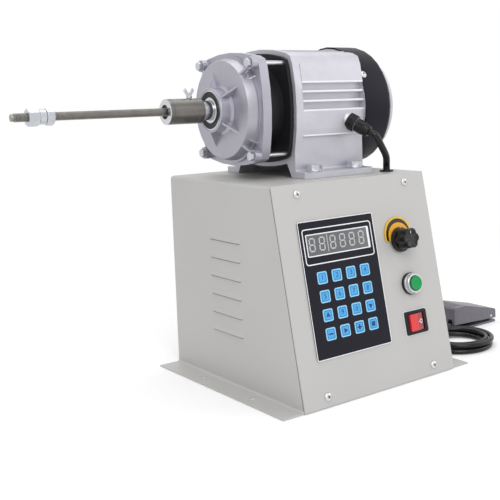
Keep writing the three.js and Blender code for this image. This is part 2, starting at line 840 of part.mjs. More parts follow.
// Potentiometer: body behind the panel, threaded bushing with its nut, and the shaft
const knobBack = seatGap + dialThickness + dialTierRise + runningGap;
const speedPot = join(
  rodZ(potBodyRadius, -panelThickness - seatGap - potBodyDepth, -panelThickness - seatGap,
    knobAcross, knobUp),
  rodZ(potBushingRadius, -panelThickness - seatGap - weld, potNutHeight, knobAcross, knobUp),
  extrudeZ(hexagonShape(2 * potNutRadius * Math.cos(Math.PI / 6)), seatGap, potNutHeight)
    .translate(knobAcross, knobUp, 0),
  rodZ(potShaftRadius, potNutHeight - weld, knobBack + potShaftReach, knobAcross, knobUp),
);
addPart(panel, "speed_pot", speedPot, "zinc");

// Knob: tapered skirt and a fluted grip, bored for the shaft
function speedKnob() {
  const skirtTop = knobBack + knobSkirtHeight;
  const top = skirtTop + knobGripHeight;
  const edge = knobFluteDepth / 2;
  const profile = [
    [knobBack, 0],
    [knobBack, knobSkirtRadius],
    [skirtTop, knobSkirtRadius - edge],
    [skirtTop, knobGripRadius],
    [top - edge, knobGripRadius],
    [top, knobGripRadius - edge],
    [top, 0],
  ];
  let solid = solidOf(turnedZ(profile, 30));
  for (let flute = 0; flute < knobFluteCount; flute += 1) {
    const angle = (flute + 0.5) * 2 * Math.PI / knobFluteCount;
    const reach = knobGripRadius + knobFluteRadius - knobFluteDepth;
    solid = cut(solid, rodZ(knobFluteRadius, skirtTop + edge, top + cutOverrun,
      reach * Math.cos(angle), reach * Math.sin(angle), 12));
  }
  const bore = rodZ(potShaftRadius + seatGap, knobBack - cutOverrun, knobBack + potShaftReach + seatGap,
    0, 0, 12);
  const nutRoom = rodZ(potNutRadius + seatGap, knobBack - cutOverrun, knobBack + seatGap, 0, 0, 12);
  return solidOf(geometryOf(cut(solid, bore, nutRoom)).translate(knobAcross, knobUp, 0));
}

addPart(panel, "speed_knob", speedKnob(), "blackPlastic");

// Push button: gasket, bezel with its body through the panel, and the sprung cap
const gasketBack = seatGap;
const bezelBack = gasketBack + gasketThickness + seatGap;
const bezelFront = bezelBack + bezelHeight;
const startGasket = cut(
  solidOf(rodZ(gasketRadius, gasketBack, gasketBack + gasketThickness, buttonAcross, buttonUp, 28)),
  rodZ(buttonHoleRadius + seatGap, gasketBack - cutOverrun, bezelBack + cutOverrun, buttonAcross, buttonUp),
);
addPart(panel, "start_gasket", startGasket, "rubber");

function startBezel() {
  const wellRadius = capRadius + runningGap;
  const wellFloor = bezelFront - capDepth - capTravel;
  const backEnd = -buttonBodyDepth;
  const profile = [
    [backEnd, 0],
    [backEnd, buttonHoleRadius],
    [bezelBack, buttonHoleRadius],
    [bezelBack, bezelRadius],
    [bezelFront - bezelWall, bezelFrontRadius],
    [bezelFront, bezelFrontRadius - bezelWall / 2],
    [bezelFront, wellRadius],
    [bezelBack + weld, wellRadius],
    [bezelBack + weld, buttonHoleRadius - bezelWall],
    [wellFloor, buttonHoleRadius - bezelWall],
    [wellFloor, 0],
  ];
  return solidOf(turnedZ(profile, 24).translate(buttonAcross, buttonUp, 0));
}

addPart(panel, "start_bezel", startBezel(), "chrome");

function startCap() {
  const top = bezelFront + capProud;
  const collarBack = bezelBack + weld + runningGap + capTravel;
  const stemRadius = buttonHoleRadius - bezelWall - runningGap;
  const profile = [
    [bezelFront - capDepth + runningGap, 0],
    [bezelFront - capDepth + runningGap, stemRadius],
    [collarBack, stemRadius],
    [collarBack, capRadius],
    [top - bezelWall / 2, capRadius],
    [top, capRadius - bezelWall / 2],
    [top, 0],
  ];
  return solidOf(turnedZ(profile, 24).translate(buttonAcross, buttonUp, 0));
}

addPart(panel, "start_cap", startCap(), "green");

// Rocker switch: a frame with a well, and a ridged paddle whose ends are round about its pivot
function rockerFrame() {
  const back = seatGap;
  const face = back + rockerFrameThickness;
  const flange = roundedRectangle(rockerAcross, rockerUp, rockerFrameWidth, rockerFrameHeight, 1.5 * sheet);
  const bodyHalf = rockerFrameWidth / 2 - rockerBodyMargin;
  const bodyHalfUp = rockerFrameHeight / 2 - rockerBodyMargin;
  const body = box(rockerAcross - bodyHalf, rockerAcross + bodyHalf, rockerUp - bodyHalfUp,
    rockerUp + bodyHalfUp, -rockerBodyDepth, back + weld);
  const wellHalf = rockerSpan / 2 + runningGap;
  const wellHalfUp = rockerLength / 2 + runningGap;
  const well = box(rockerAcross - wellHalf, rockerAcross + wellHalf, rockerUp - wellHalfUp,
    rockerUp + wellHalfUp, rockerPivotRise - rockerFloorDepth, face + cutOverrun);
  return cut(join(extrudeZ(flange, back, face, 2), body), well);
}

addPart(panel, "rocker_frame", rockerFrame(), "blackPlastic");

function rockerPaddle() {
  const radius = rockerSpan / 2;
  const shape = new THREE.Shape();
  shape.moveTo(0, rockerRidge);
  shape.lineTo(-radius * Math.cos(rockerFaceAngle), radius * Math.sin(rockerFaceAngle));
  shape.absarc(0, 0, radius, Math.PI - rockerFaceAngle, Math.PI + rockerHeelAngle);
  shape.lineTo(radius * Math.cos(rockerHeelAngle), -radius * Math.sin(rockerHeelAngle));
  shape.absarc(0, 0, radius, -rockerHeelAngle, rockerFaceAngle);
  return solidOf(extrudeY(shape, -rockerLength / 2, rockerLength / 2, 6));
}

// The paddle rests with its right half pressed in
const rocker = new THREE.Group();
rocker.position.set(rockerAcross, rockerUp, rockerPivotRise);
rocker.rotation.y = rockerFaceAngle;
panel.add(rocker);
addPart(rocker, "power_rocker", rockerPaddle(), "red");

// Back panel with vents and the holes of the two glands
function backPanel() {
  const reach = halfWidth - sheet - seatGap;
  const from = halfDepth - sheet;
  const low = sheet + seatGap;
  const high = cabinetHeight - sheet - seatGap;
  const outline = polygon([
    [-reach, low],
    [reach, low],
    [reach, high - topBendRadius],
    [reach - topBendRadius, high],
    [-reach + topBendRadius, high],
    [-reach, high - topBendRadius],
  ]);
  const plate = extrudeY(outline, from, halfDepth);
  const tools = [];
  for (let vent = 0; vent < ventCount; vent += 1) {
    const ventLow = ventLowest + vent * ventPitch;
    for (const side of [-1, 1]) {
      const middle = side * ventLength * 0.65;
      tools.push(box(middle - ventLength / 2, middle + ventLength / 2, from - cutOverrun,
        halfDepth + cutOverrun, ventLow, ventLow + ventHeight));
    }
  }
  tools.push(rodY(glandHoleRadius, from - cutOverrun, halfDepth + cutOverrun, pedalGlandAcross,
    pedalGlandHeight));
  const inletHalf = inletBodyWidth / 2 + seatGap;
  const inletHalfUp = inletBodyHeight / 2 + seatGap;
  tools.push(box(inletAcross - inletHalf, inletAcross + inletHalf, from - cutOverrun,
    halfDepth + cutOverrun, inletHeight - inletHalfUp, inletHeight + inletHalfUp));
  return cut(solidOf(plate), ...tools);
}

addPart(machine, "back_panel", backPanel(), "cabinetPaint");

// Cable gland through the back panel: neck, hexagon nut and a rounded nose
function backGland(x, z) {
  const face = halfDepth + seatGap;
  const inner = halfDepth - sheet - glandInnerLength;
  const nutEnd = face + glandNutHeight;
  const noseEnd = nutEnd + glandNoseLength;
  const nut = extrudeY(hexagonShape(2 * glandNutRadius * Math.cos(Math.PI / 6)), face, nutEnd);
  const neck = rodY(glandHoleRadius - seatGap, inner, face + weld);
  const noseProfile = [
    [nutEnd - weld, 0],
    [nutEnd - weld, glandNeckRadius],
    [nutEnd + glandNoseLength * 0.55, glandNeckRadius],
    [noseEnd, glandNoseRadius],
    [noseEnd, 0],
  ];
  const nose = turnedZ(noseProfile, 20).rotateX(-Math.PI / 2);
  return solidOf(geometryOf(join(nut, neck, nose)).translate(x, 0, z));
}

addPart(machine, "cord_gland", backGland(pedalGlandAcross, pedalGlandHeight), "blackPlastic");

// Mains inlet: flange, body through the panel, and three blades in its well
function powerInlet() {
  const back = halfDepth + seatGap;
  const face = back + inletFlangeThickness;
  const centred = (width, height, from, to) => box(inletAcross - width / 2, inletAcross + width / 2,
    from, to, inletHeight - height / 2, inletHeight + height / 2);
  const floor = back - inletBodyDepth + inletWall;
  let solid = cut(
    join(
      centred(inletFlangeWidth, inletFlangeHeight, back, face),
      centred(inletBodyWidth, inletBodyHeight, back - inletBodyDepth, back + weld),
    ),
    centred(inletBodyWidth - 2 * inletWall, inletBodyHeight - 2 * inletWall, floor, face + cutOverrun),
  );
  for (const place of [-1, 0, 1]) {
    const x = inletAcross + place * inletPinPitch;
    const lift = place === 0 ? inletPinHeight / 3 : -inletPinHeight / 3;
    solid = solid.add(solidOf(box(x - inletPinWidth / 2, x + inletPinWidth / 2, floor - weld,
      floor + inletPinLength, inletHeight + lift - inletPinHeight / 2,
      inletHeight + lift + inletPinHeight / 2)));
  }
  return solid;
}

addPart(machine, "power_inlet", powerInlet(), "blackPlastic");

// Motor driver on the cabinet floor, with its cooling fins
function driverModule() {
  const low = sheet + seatGap;
  const left = driverAcross - driverWidth / 2;
  const front = driverBack - driverDepth / 2;
  const bodyTop = low + driverHeight - driverFinHeight;
  let solid = solidOf(box(left, left + driverWidth, front, front + driverDepth, low, bodyTop));
  const pitch = (driverWidth - driverFinThickness) / (driverFinCount - 1);
  for (let fin = 0; fin < driverFinCount; fin += 1) {
    const x = left + fin * pitch;
    solid = solid.add(solidOf(box(x, x + driverFinThickness, front, front + driverDepth,
      bodyTop - weld, bodyTop + driverFinHeight)));
  }
  return solid;
}

addPart(machine, "driver_module", driverModule(), "castAluminium");

// Motor and gearbox, modelled about their axis
const motor = new THREE.Group();
motor.position.set(0, axisBack, cabinetHeight + axisRise);
machine.add(motor);

// One side's leg and foot, as a section; the other side mirrors it
function legSection(side) {
  const footTop = -axisRise + footThickness;
  const points = [
    [legInnerTopHalf, -legInnerTopDrop],
    [legInnerBottomHalf, -axisRise + seatGap],
    [footHalfWidth, -axisRise + seatGap],
    [footHalfWidth, footTop],
    [skirtHalfWidth + footFillet, footTop],
    [skirtHalfWidth + footFillet * 0.3, footTop + footFillet * 0.3],
    [skirtHalfWidth, footTop + footFillet],
    [skirtHalfWidth, -skirtTop + weld],
    [legInnerTopHalf, -skirtTop + weld],
  ];
  return polygon(points.map(([y, z]) => [side * y, z]));
}

// Grooves between the cooling fins, kept clear of the barrel
function finGrooves() {
  const from = motorFaceStation + motorFlangeThickness;
  const to = motorRearStation + cutOverrun;
  const grooveHalf = (finPitch - finThickness) / 2;
  const outer = motorHalfSize + cutOverrun;
  const tools = [];
  for (let gap = 0; gap < sideFinCount - 1; gap += 1) {
    const middle = sideFinLowest + (gap + 0.5) * finPitch;
    for (const side of [-1, 1]) {
      const edges = [side * sideGrooveInner, side * outer].sort((a, b) => a - b);
      tools.push(box(from, to, edges[0], edges[1], middle - grooveHalf, middle + grooveHalf));
    }
  }
  for (let gap = 0; gap < topFinCount - 1; gap += 1) {
    const middle = (gap + 0.5 - (topFinCount - 1) / 2) * finPitch;
    tools.push(box(from, to, middle - grooveHalf, middle + grooveHalf, topGrooveInner, outer));
  }
  const barrel = rodX(barrelRadius, from - cutOverrun, to + cutOverrun, 0, 0, roundSides);
  return tools.map((tool) => cut(solidOf(tool), barrel));
}

function motorBody() {
  const from = motorFaceStation;
  const to = motorRearStation;
  const square = bulgedSquare(motorHalfSize, motorSideBulge, motorCornerRadius);
  let solid = solidOf(extrudeX(square, from, to));
  for (const groove of finGrooves()) solid = solid.subtract(groove);
  const chamberCut = box(from + motorFlangeThickness, to + cutOverrun, -motorHalfSize - cutOverrun,
    motorHalfSize + cutOverrun, -motorHalfSize - cutOverrun, -skirtTop);
  const barrel = rodX(barrelRadius, from, to, 0, 0, roundSides);
  solid = cut(solid, chamberCut).add(solidOf(barrel));
  for (const side of [-1, 1]) solid = solid.add(solidOf(extrudeX(legSection(side), from, to)));
  const spigotRadius = fanCoverRadius - fanCoverWall - seatGap;
  const spigot = rodX(spigotRadius, to - weld, to + spigotLength, 0, 0, roundSides);
  solid = solid.add(solidOf(spigot));
  const bore = rodX(statorBoreRadius, from - cutOverrun, to - rearWallThickness, 0, 0, roundSides);
  const spigotRoom = rodX(fanHubRadius + runningGap, to, to + spigotLength + cutOverrun);
  const bearingRoom = rodX(rotorBearingRadius + seatGap, to - rearWallThickness - cutOverrun,
    to - rearWallThickness + rotorBearingWidth + seatGap, 0, 0, 20);
  const shaftHole = rodX(rotorShaftRadius + 2 * runningGap, from, to + spigotLength + cutOverrun);
  solid = cut(solid, bore, spigotRoom, bearingRoom, shaftHole);
  for (const [y, z] of cornerSigns) {
    solid = cut(solid, rodX(tieBoltHoleRadius, from - cutOverrun, from + tieBoltThread + cutOverrun,
      y * tieBoltHalfSpan, z * tieBoltHalfSpan, 8));
  }
  for (const [x, y] of footBoltPlaces()) {
    solid = cut(solid, rodZ(footBoltHoleRadius, -axisRise - cutOverrun,
      -axisRise + footThickness + cutOverrun, x, y, 12));
  }
  return cut(addGlandBoss(solid), ...footClips());
}

// Clipped corners of the feet
function footClips() {
  const low = -axisRise - cutOverrun;
  const high = -axisRise + footThickness + cutOverrun;
  const tools = [];
  for (const x of [motorFaceStation, motorRearStation]) {
    for (const side of [-1, 1]) {
      const size = footCornerClip * Math.SQRT2;
      const clip = new THREE.BoxGeometry(size, size, high - low);
      tools.push(clip.rotateZ(Math.PI / 4).translate(x, side * footHalfWidth, (low + high) / 2));
    }
  }
  return tools;
}

// Where the motor's gland stands, and how its parts are turned to its direction
const glandFoot = new THREE.Vector3(
  motorFaceStation + motorGlandAlong, -motorHalfSize + seatGap, -motorGlandDrop);
const glandTurn = new THREE.Quaternion().setFromUnitVectors(
  new THREE.Vector3(0, 0, 1), motorGlandDirection);

function onGlandAxis(geometry) {
  return geometry.applyQuaternion(glandTurn).translate(glandFoot.x, glandFoot.y, glandFoot.z);
}

function addGlandBoss(solid) {
  const boss = onGlandAxis(rodZ(motorGlandBossRadius, -motorGlandBossSunk, motorGlandBossProud));
  return solid.add(solidOf(boss));
}

addPart(motor, "motor_body", motorBody(), "castAluminium");

// Ribbed cable gland on the motor
function motorGland() {
  const start = motorGlandBossProud + seatGap;
  const end = start + motorGlandLength;
  const profile = [
    [start, 0],
    [start, motorGlandRadius],
    [start + motorGlandLength * 0.55, motorGlandRadius],
    [start + motorGlandLength * 0.62, motorGlandRadius * 0.9],
    [start + motorGlandLength * 0.85, motorGlandRadius * 0.9],
    [end, motorGlandNoseRadius],
    [end, 0],
  ];
  let solid = solidOf(turnedZ(profile, 16));
  const ribRadius = motorGlandRadius / 8;
  for (let rib = 0; rib < motorGlandRibCount; rib += 1) {
    const angle = rib * 2 * Math.PI / motorGlandRibCount;
    solid = cut(solid, rodZ(ribRadius, start + motorGlandLength * 0.12, start + motorGlandLength * 0.5,
      motorGlandRadius * Math.cos(angle), motorGlandRadius * Math.sin(angle), 4));
  }
  return solidOf(onGlandAxis(geometryOf(solid)));
}

addPart(motor, "motor_gland", motorGland(), "blackPlastic");

// Stator with its winding slots
function statorCore() {
  const outer = new THREE.Shape();
  outer.absarc(0, 0, statorBoreRadius - seatGap, 0, 2 * Math.PI);
  const hole = [];
  for (let slot = 0; slot < statorSlotCount; slot += 1) {
    const middle = slot * 2 * Math.PI / statorSlotCount;
    const half = Math.PI / statorSlotCount;
    const put = (share, radius) => hole.push([radius * Math.cos(middle + share * half),
      radius * Math.sin(middle + share * half)]);
    put(-1, statorInnerRadius);
    put(-0.25, statorInnerRadius);
    put(-0.4, statorInnerRadius + statorSlotDepth);
    put(0.4, statorInnerRadius + statorSlotDepth);
    put(0.25, statorInnerRadius);
  }
  outer.holes.push(polygon(hole));
  const middle = (motorFaceStation + motorRearStation - rearWallThickness) / 2;
  return solidOf(extrudeX(outer, middle - statorLength / 2, middle + statorLength / 2, 18));
}

addPart(motor, "stator", statorCore(), "laminations");

// Involute gear outline; the same outline, made larger, is the hole of the ring gear
function gearOutline(teeth, tipRadius, rootRadius, thickening) {
  const pitchRadius = gearModule * teeth / 2;
  const baseRadius = pitchRadius * Math.cos(pressureAngle);
  const involute = (radius) => {
    const angle = Math.acos(Math.min(1, baseRadius / radius));
    return Math.tan(angle) - angle;
  };
  const halfAtPitch = Math.PI / (2 * teeth) + thickening / (2 * pitchRadius);
  const halfAt = (radius) => halfAtPitch + involute(pitchRadius) - involute(Math.max(radius, baseRadius));
  const radii = [rootRadius, tipRadius];
  const points = [];
  for (let tooth = 0; tooth < teeth; tooth += 1) {
    const middle = tooth * 2 * Math.PI / teeth;
    const put = (radius, angle) => points.push([
      radius * Math.cos(middle + angle), radius * Math.sin(middle + angle)]);
    radii.forEach((radius) => put(radius, -halfAt(radius)));
    [...radii].reverse().forEach((radius) => put(radius, halfAt(radius)));
  }
  return polygon(points);
}

const toothTip = gearModule - gearTipRelief;
const toothRoot = gearModule + gearTipRelief;

function turnedOutline(shape, angle) {
  const points = shape.getPoints().map((point) => point.rotateAround(new THREE.Vector2(), angle));
  return new THREE.Shape(points);
}

const gearEnd = motorFaceStation - seatGap - ringWallThickness - 2 * runningGap;
const gearStart = gearEnd - gearLength;

// Ring gear housing: internal teeth in front, and a wall that holds the rotor's front bearing
function ringGear() {
  const back = motorFaceStation - seatGap;
  const wall = back - ringWallThickness;
  const pitchRadius = gearModule * ringTeeth / 2;
  const drum = rodX(ringRadius, ringFrontStation, back, 0, 0, roundSides);
  const square = bulgedSquare(ringFlangeHalfSize, ringFlangeBulge, ringFlangeCornerRadius);
  const flangeFront = back - ringFlangeThickness;
  const outline = gearOutline(ringTeeth, pitchRadius + toothRoot, pitchRadius - toothTip, gearBacklash);
  const teeth = extrudeX(outline, ringFrontStation - cutOverrun, wall);
  const bearingRoom = rodX(rotorBearingRadius + seatGap, back - rotorBearingWidth - seatGap,
    back + cutOverrun, 0, 0, 20);
  const shaftHole = rodX(rotorShaftRadius + 2 * runningGap, wall - cutOverrun, back);
  const boltHoles = cornerSigns.map(([y, z]) => rodX(tieBoltHoleRadius, flangeFront - cutOverrun,
    back + cutOverrun, y * tieBoltHalfSpan, z * tieBoltHalfSpan, 8));
  return cut(join(drum, extrudeX(square, flangeFront, back)), teeth, bearingRoom, shaftHole, ...boltHoles);
}

addPart(motor, "ring_gear", ringGear(), "blackPaint");

// Rotor: shaft, core and sun pinion
function rotorSolid() {
  const coreMiddle = (motorFaceStation + motorRearStation - rearWallThickness) / 2;
  const shaftEnd = motorRearStation + fanShaftReach;
  const sun = turnedOutline(
    gearOutline(sunTeeth, sunRadius + toothTip, sunRadius - toothRoot, -gearBacklash),
    Math.PI / sunTeeth,
  );
  return join(
    rodX(rotorShaftRadius, gearEnd - weld, shaftEnd),
    rodX(rotorCoreRadius, coreMiddle - rotorCoreLength / 2, coreMiddle + rotorCoreLength / 2, 0, 0, 24),
    extrudeX(sun, gearStart, gearEnd),
  );
}

addPart(motor, "rotor", rotorSolid(), "laminations");

// Ball bearing as a ring with grooved faces
function bearingRing(from, width, boreRadius, outerRadius, sides) {
  const groove = width / 12;
  const inner = boreRadius + (outerRadius - boreRadius) * 0.28;
  const outer = boreRadius + (outerRadius - boreRadius) * 0.78;
  const to = from + width;
  const profile = [
    [from, boreRadius],
    [from, inner],
    [from + groove, inner],
    [from + groove, outer],
    [from, outer],
    [from, outerRadius],
    [to, outerRadius],
    [to, boreRadius],
    [from, boreRadius],
  ];
  return solidOf(turnedX(profile, sides));
}

function rotorBearing(from) {
  const to = from + rotorBearingWidth;
  return cut(
    solidOf(rodX(rotorBearingRadius, from, to, 0, 0, 20)),
    rodX(rotorShaftRadius + runningGap, from - cutOverrun, to + cutOverrun),
  );
}

addPart(motor, "rotor_bearing_front", rotorBearing(motorFaceStation - seatGap - rotorBearingWidth), "chrome");
addPart(motor, "rotor_bearing_rear", rotorBearing(motorRearStation - rearWallThickness), "chrome");

// Planet gears, each bored for its pin on the carrier
const carrierFace = gearStart - runningGap;

function planetPlace(number) {
  const angle = number * 2 * Math.PI / planetCount;
  return [angle, planetOrbit * Math.cos(angle), planetOrbit * Math.sin(angle)];
}

for (let number = 0; number < planetCount; number += 1) {
  const [angle, y, z] = planetPlace(number);
  const outline = turnedOutline(
    gearOutline(planetTeeth, planetRadius + toothTip, planetRadius - toothRoot, -gearBacklash),
    angle,
  );
  const blank = extrudeX(outline, gearStart, gearEnd);
  const bore = rodX(planetPinRadius + seatGap, gearStart - cutOverrun, gearEnd + cutOverrun, 0, 0, 12);
  const planet = geometryOf(cut(solidOf(blank), bore)).translate(0, y, z);
  addPart(motor, `planet_${number + 1}`, solidOf(planet), "darkSteel");
}

// Output shaft with its planet carrier
function outputShaft() {
  const shaftTip = couplerRightStation - couplerShaftDepth + seatGap;
  let solid = join(
    rodX(outputShaftRadius, shaftTip, carrierFace - weld, 0, 0, 24),
    rodX(carrierRadius, carrierFace - carrierThickness, carrierFace, 0, 0, 32),
  );
  for (let number = 0; number < planetCount; number += 1) {
    const [, y, z] = planetPlace(number);
    solid = solid.add(solidOf(rodX(planetPinRadius, carrierFace - weld, gearEnd - weld, y, z, 12)));
  }
  return solid;
}

addPart(motor, "output_shaft", outputShaft(), "darkSteel");

// Gear cover: domed casting with a bearing boss, gussets and a bolted flange
function coverProfile() {
  const side = coverFlangeStation - coverStepLength;
  return [
    [coverBossStation, 0],
    [coverBossStation, coverBossRadius - coverRimFillet / 2],
    [coverBossStation + coverRimFillet / 2, coverBossRadius],
    [coverFaceStation - coverRimFillet, coverBossRadius],
    [coverFaceStation, coverBossFoot],
    [coverFaceStation, coverRimRadius - coverRimFillet],
    [coverFaceStation + coverRimFillet * 0.3, coverRimRadius - coverRimFillet * 0.3],
    [coverFaceStation + coverRimFillet, coverRimRadius],
    [side, coverSkirtRadius],
    [side, coverStepRadius],
    [coverFlangeStation + weld, coverStepRadius],
    [coverFlangeStation + weld, 0],
  ];
}

function gussetAngles() {
  return Array.from({ length: gussetCount }, (_, k) => 2 * Math.PI * k / gussetCount);
}

// A triangular rib drawn in station and radius, turned to its angle about the axis
function radialRib(points, thickness, angle) {
  const outline = polygon(points);
  const rib = new THREE.ExtrudeGeometry(outline, { depth: thickness, bevelEnabled: false });
  rib.translate(0, 0, -thickness / 2);
  return rib.rotateX(Math.PI / 2).rotateX(angle - Math.PI / 2);
}

function gearCover() {
  const square = bulgedSquare(coverHalfSize, coverSideBulge, coverCornerRadius);
  let solid = join(turnedX(coverProfile()), extrudeX(square, coverFlangeStation, coverBackStation));
  for (const angle of gussetAngles()) {
    const root = coverBossRadius - weld;
    const face = coverFaceStation + weld;
    solid = solid.add(solidOf(radialRib(
      [[face, root], [face, gussetReach], [coverFaceStation - gussetRise, root]],
      gussetThickness, angle)));
    const flange = coverFlangeStation + weld;
    const skirt = coverRimRadius - weld;
    solid = solid.add(solidOf(radialRib(
      [[flange, skirt], [flange, rimGussetReach], [flange - rimGussetLength, skirt]],
      gussetThickness, angle)));
  }
  for (const [y, z] of cornerSigns) {
    const front = coverFlangeStation - boltBossLength;
    const skirt = coverRimRadius - weld;
    solid = solid.add(solidOf(rodX(boltBossRadius, front, coverFlangeStation + weld,
      y * tieBoltHalfSpan, z * tieBoltHalfSpan, 12)));
    solid = solid.add(solidOf(radialRib(
      [[front + weld, skirt], [front + weld, bossRibReach], [front - bossRibLength, skirt]],
      gussetThickness, Math.atan2(z, y))));
  }
  const cavityFront = coverFaceStation + coverWall;
  const tools = [
    rodX(coverCavityRadius, cavityFront, coverBackStation + cutOverrun, 0, 0, 28),
    rodX(outputBearingRadius + seatGap, coverBossStation - cutOverrun,
      coverBossStation + outputBearingWidth + 2 * seatGap, 0, 0, 28),
    rodX(outputShaftRadius + 2 * runningGap, coverBossStation, cavityFront + cutOverrun, 0, 0, 20),
  ];
  for (const [y, z] of cornerSigns) {
    tools.push(rodX(tieBoltHoleRadius, coverFlangeStation - boltBossLength - cutOverrun,
      coverBackStation + cutOverrun, y * tieBoltHalfSpan, z * tieBoltHalfSpan, 8));
  }
  return cut(solid, ...tools);
}

addPart(motor, "gear_cover", gearCover(), "castAluminium");
addPart(motor, "output_bearing", bearingRing(coverBossStation + seatGap, outputBearingWidth,
  outputShaftRadius + runningGap, outputBearingRadius, 24), "blackPlastic");

// Tie bolts from the cover's corners into the motor
cornerSigns.forEach(([y, z], number) => {
  const seat = coverFlangeStation - boltBossLength - seatGap;
  const head = extrudeX(hexagonShape(tieBoltHeadAcross), seat - tieBoltHeadHeight, seat);
  const shank = rodX(tieBoltRadius, seat - weld, motorFaceStation + tieBoltThread, 0, 0, 10);
  const bolt = geometryOf(join(head, shank)).translate(0, y * tieBoltHalfSpan, z * tieBoltHalfSpan);
  addPart(motor, `tie_bolt_${number + 1}`, solidOf(bolt), "zinc");
});

// Foot bolts with washer, and their nuts under the cabinet top
footBoltPlaces().forEach(([x, y], number) => {
  const seat = -axisRise + footThickness + seatGap;
  const underside = -axisRise - sheet - seatGap;
  const bolt = join(
    rodZ(footWasherRadius, seat, seat + footWasherThickness, 0, 0, 18),
    extrudeZ(hexagonShape(footBoltHeadAcross), seat + footWasherThickness - weld,
      seat + footWasherThickness + footBoltHeadHeight),
    rodZ(footBoltShankRadius, underside - footNutHeight - footWasherThickness, seat + weld, 0, 0, 10),
    extrudeZ(hexagonShape(footBoltHeadAcross), underside - footNutHeight, underside),
  );
  addPart(motor, `foot_bolt_${number + 1}`, solidOf(geometryOf(bolt).translate(x, y, 0)), "zinc");
});

// Fan: hub, back disc and radial blades
function fanSolid() {
  const start = motorRearStation + spigotLength + fanFromWall / 2;
  const end = start + fanWidth;
  let solid = join(
    rodX(fanHubRadius, start, end, 0, 0, 24),
    rodX(fanRadius, start, start + fanDiscThickness, 0, 0, 28),
  );
  for (let blade = 0; blade < fanBladeCount; blade += 1) {
    const angle = blade * 2 * Math.PI / fanBladeCount;
    const vane = box(start + weld, end, fanHubRadius - weld, fanRadius - runningGap,
      -fanBladeThickness / 2, fanBladeThickness / 2);
    solid = solid.add(solidOf(vane.rotateX(angle)));
  }
  return cut(solid, rodX(rotorShaftRadius + seatGap, start - cutOverrun,
    motorRearStation + fanShaftReach + seatGap, 0, 0));
}

addPart(motor, "fan", fanSolid(), "blackPlastic");

// Fan cover: a shell with a rounded edge and a round opening for the guard
function fanCover() {
  const inner = fanCoverRadius - fanCoverWall;
  const bend = fanCoverEnd - fanCoverCornerRadius;
  const profile = [[fanCoverStart, inner], [fanCoverStart, fanCoverRadius]];
  const steps = 3;
  const arc = (centreRadius, radius, step) => {
    const angle = step / steps * Math.PI / 2;
    return [bend + radius * Math.sin(angle), centreRadius + radius * Math.cos(angle)];
  };
  const centreRadius = fanCoverRadius - fanCoverCornerRadius;
  for (let step = 0; step <= steps; step += 1) {
    profile.push(arc(centreRadius, fanCoverCornerRadius, step));
  }
  profile.push([fanCoverEnd, guardOpeningRadius]);
  profile.push([fanCoverEnd - fanCoverWall, guardOpeningRadius]);
  for (let step = steps; step >= 0; step -= 1) {
    profile.push(arc(centreRadius, fanCoverCornerRadius - fanCoverWall, step));
  }
  profile.push([fanCoverStart, inner]);
  return solidOf(turnedX(profile));
}

addPart(motor, "fan_cover", fanCover(), "blackPaint");

// Guard: rings that step back to a closed centre cap, carried by curved spokes
function fanGuard() {
  const base = fanCoverEnd + seatGap;
  const rings = [];
  const curve = (share) => [
    base + guardFlangeThickness / 2 + guardDepth * Math.sin(share * Math.PI / 2),
    guardCapRadius + (guardOpeningRadius - guardCapRadius) * Math.cos(share * Math.PI / 2),
  ];
  for (let ring = 1; ring < guardRingCount; ring += 1) {
    const [station, radius] = curve(ring / guardRingCount);
    const half = guardRingWire / 2;
    const wire = [
      [station - half, radius - half],
      [station - half, radius + half],
      [station + half, radius + half],
      [station + half, radius - half],
      [station - half, radius - half],
    ];
    rings.push(turnedX(wire, 24));
  }
  const flange = turnedX([[base, guardOpeningRadius - guardSpokeWidth], [base, guardFlangeRadius],
    [base + guardFlangeThickness, guardFlangeRadius],
    [base + guardFlangeThickness, guardOpeningRadius - guardSpokeWidth],
    [base, guardOpeningRadius - guardSpokeWidth]], 24);
  const crown = curve(1)[0];
  const cap = rodX(guardCapRadius + weld, crown - guardRingWire / 2, crown + guardRingWire / 2, 0, 0, 24);
  let solid = join(flange, cap, ...rings);
  for (let spoke = 0; spoke < guardSpokeCount; spoke += 1) {
    const outerPoints = [];
    const innerPoints = [];
    for (let step = 0; step <= guardRingCount; step += 1) {
      const [station, radius] = curve(step / guardRingCount);
      outerPoints.push([station + guardRingWire / 2, radius]);
      innerPoints.unshift([station - guardRingWire / 2, radius - weld]);
    }
    const angle = spoke * 2 * Math.PI / guardSpokeCount;
    solid = solid.add(solidOf(radialRib([...outerPoints, ...innerPoints], guardSpokeWidth, angle)));
  }
  return solid;
}

addPart(motor, "fan_guard", fanGuard(), "zinc");

// Coupler: turned sleeve on the output shaft, bored for the spindle rod and the wing screw
function couplerSleeve() {
  const left = couplerLeftStation;
  const right = couplerRightStation;
  const profile = [
    [left, 0],
    [left, couplerRadius - couplerChamfer],
    [left + couplerChamfer, couplerRadius],
    [right - couplerChamfer, couplerRadius],
    [right, couplerRadius - couplerChamfer],
    [right, 0],
  ];
  const screwX = right - wingScrewFromEnd;
  return cut(
    solidOf(turnedX(profile, 28)),
    rodX(rodRadius + seatGap, left - cutOverrun, left + couplerRodDepth, 0, 0, 16),
    rodX(couplerCounterboreRadius, left - cutOverrun, left + couplerCounterboreDepth, 0, 0, 20),
    rodX(outputShaftRadius + seatGap, right - couplerShaftDepth, right + cutOverrun, 0, 0, 24),
    rodZ(wingScrewShankRadius + seatGap, 0, couplerRadius + cutOverrun, screwX, 0, 10),
  );
}

addPart(motor, "coupler", couplerSleeve(), "darkSteel");

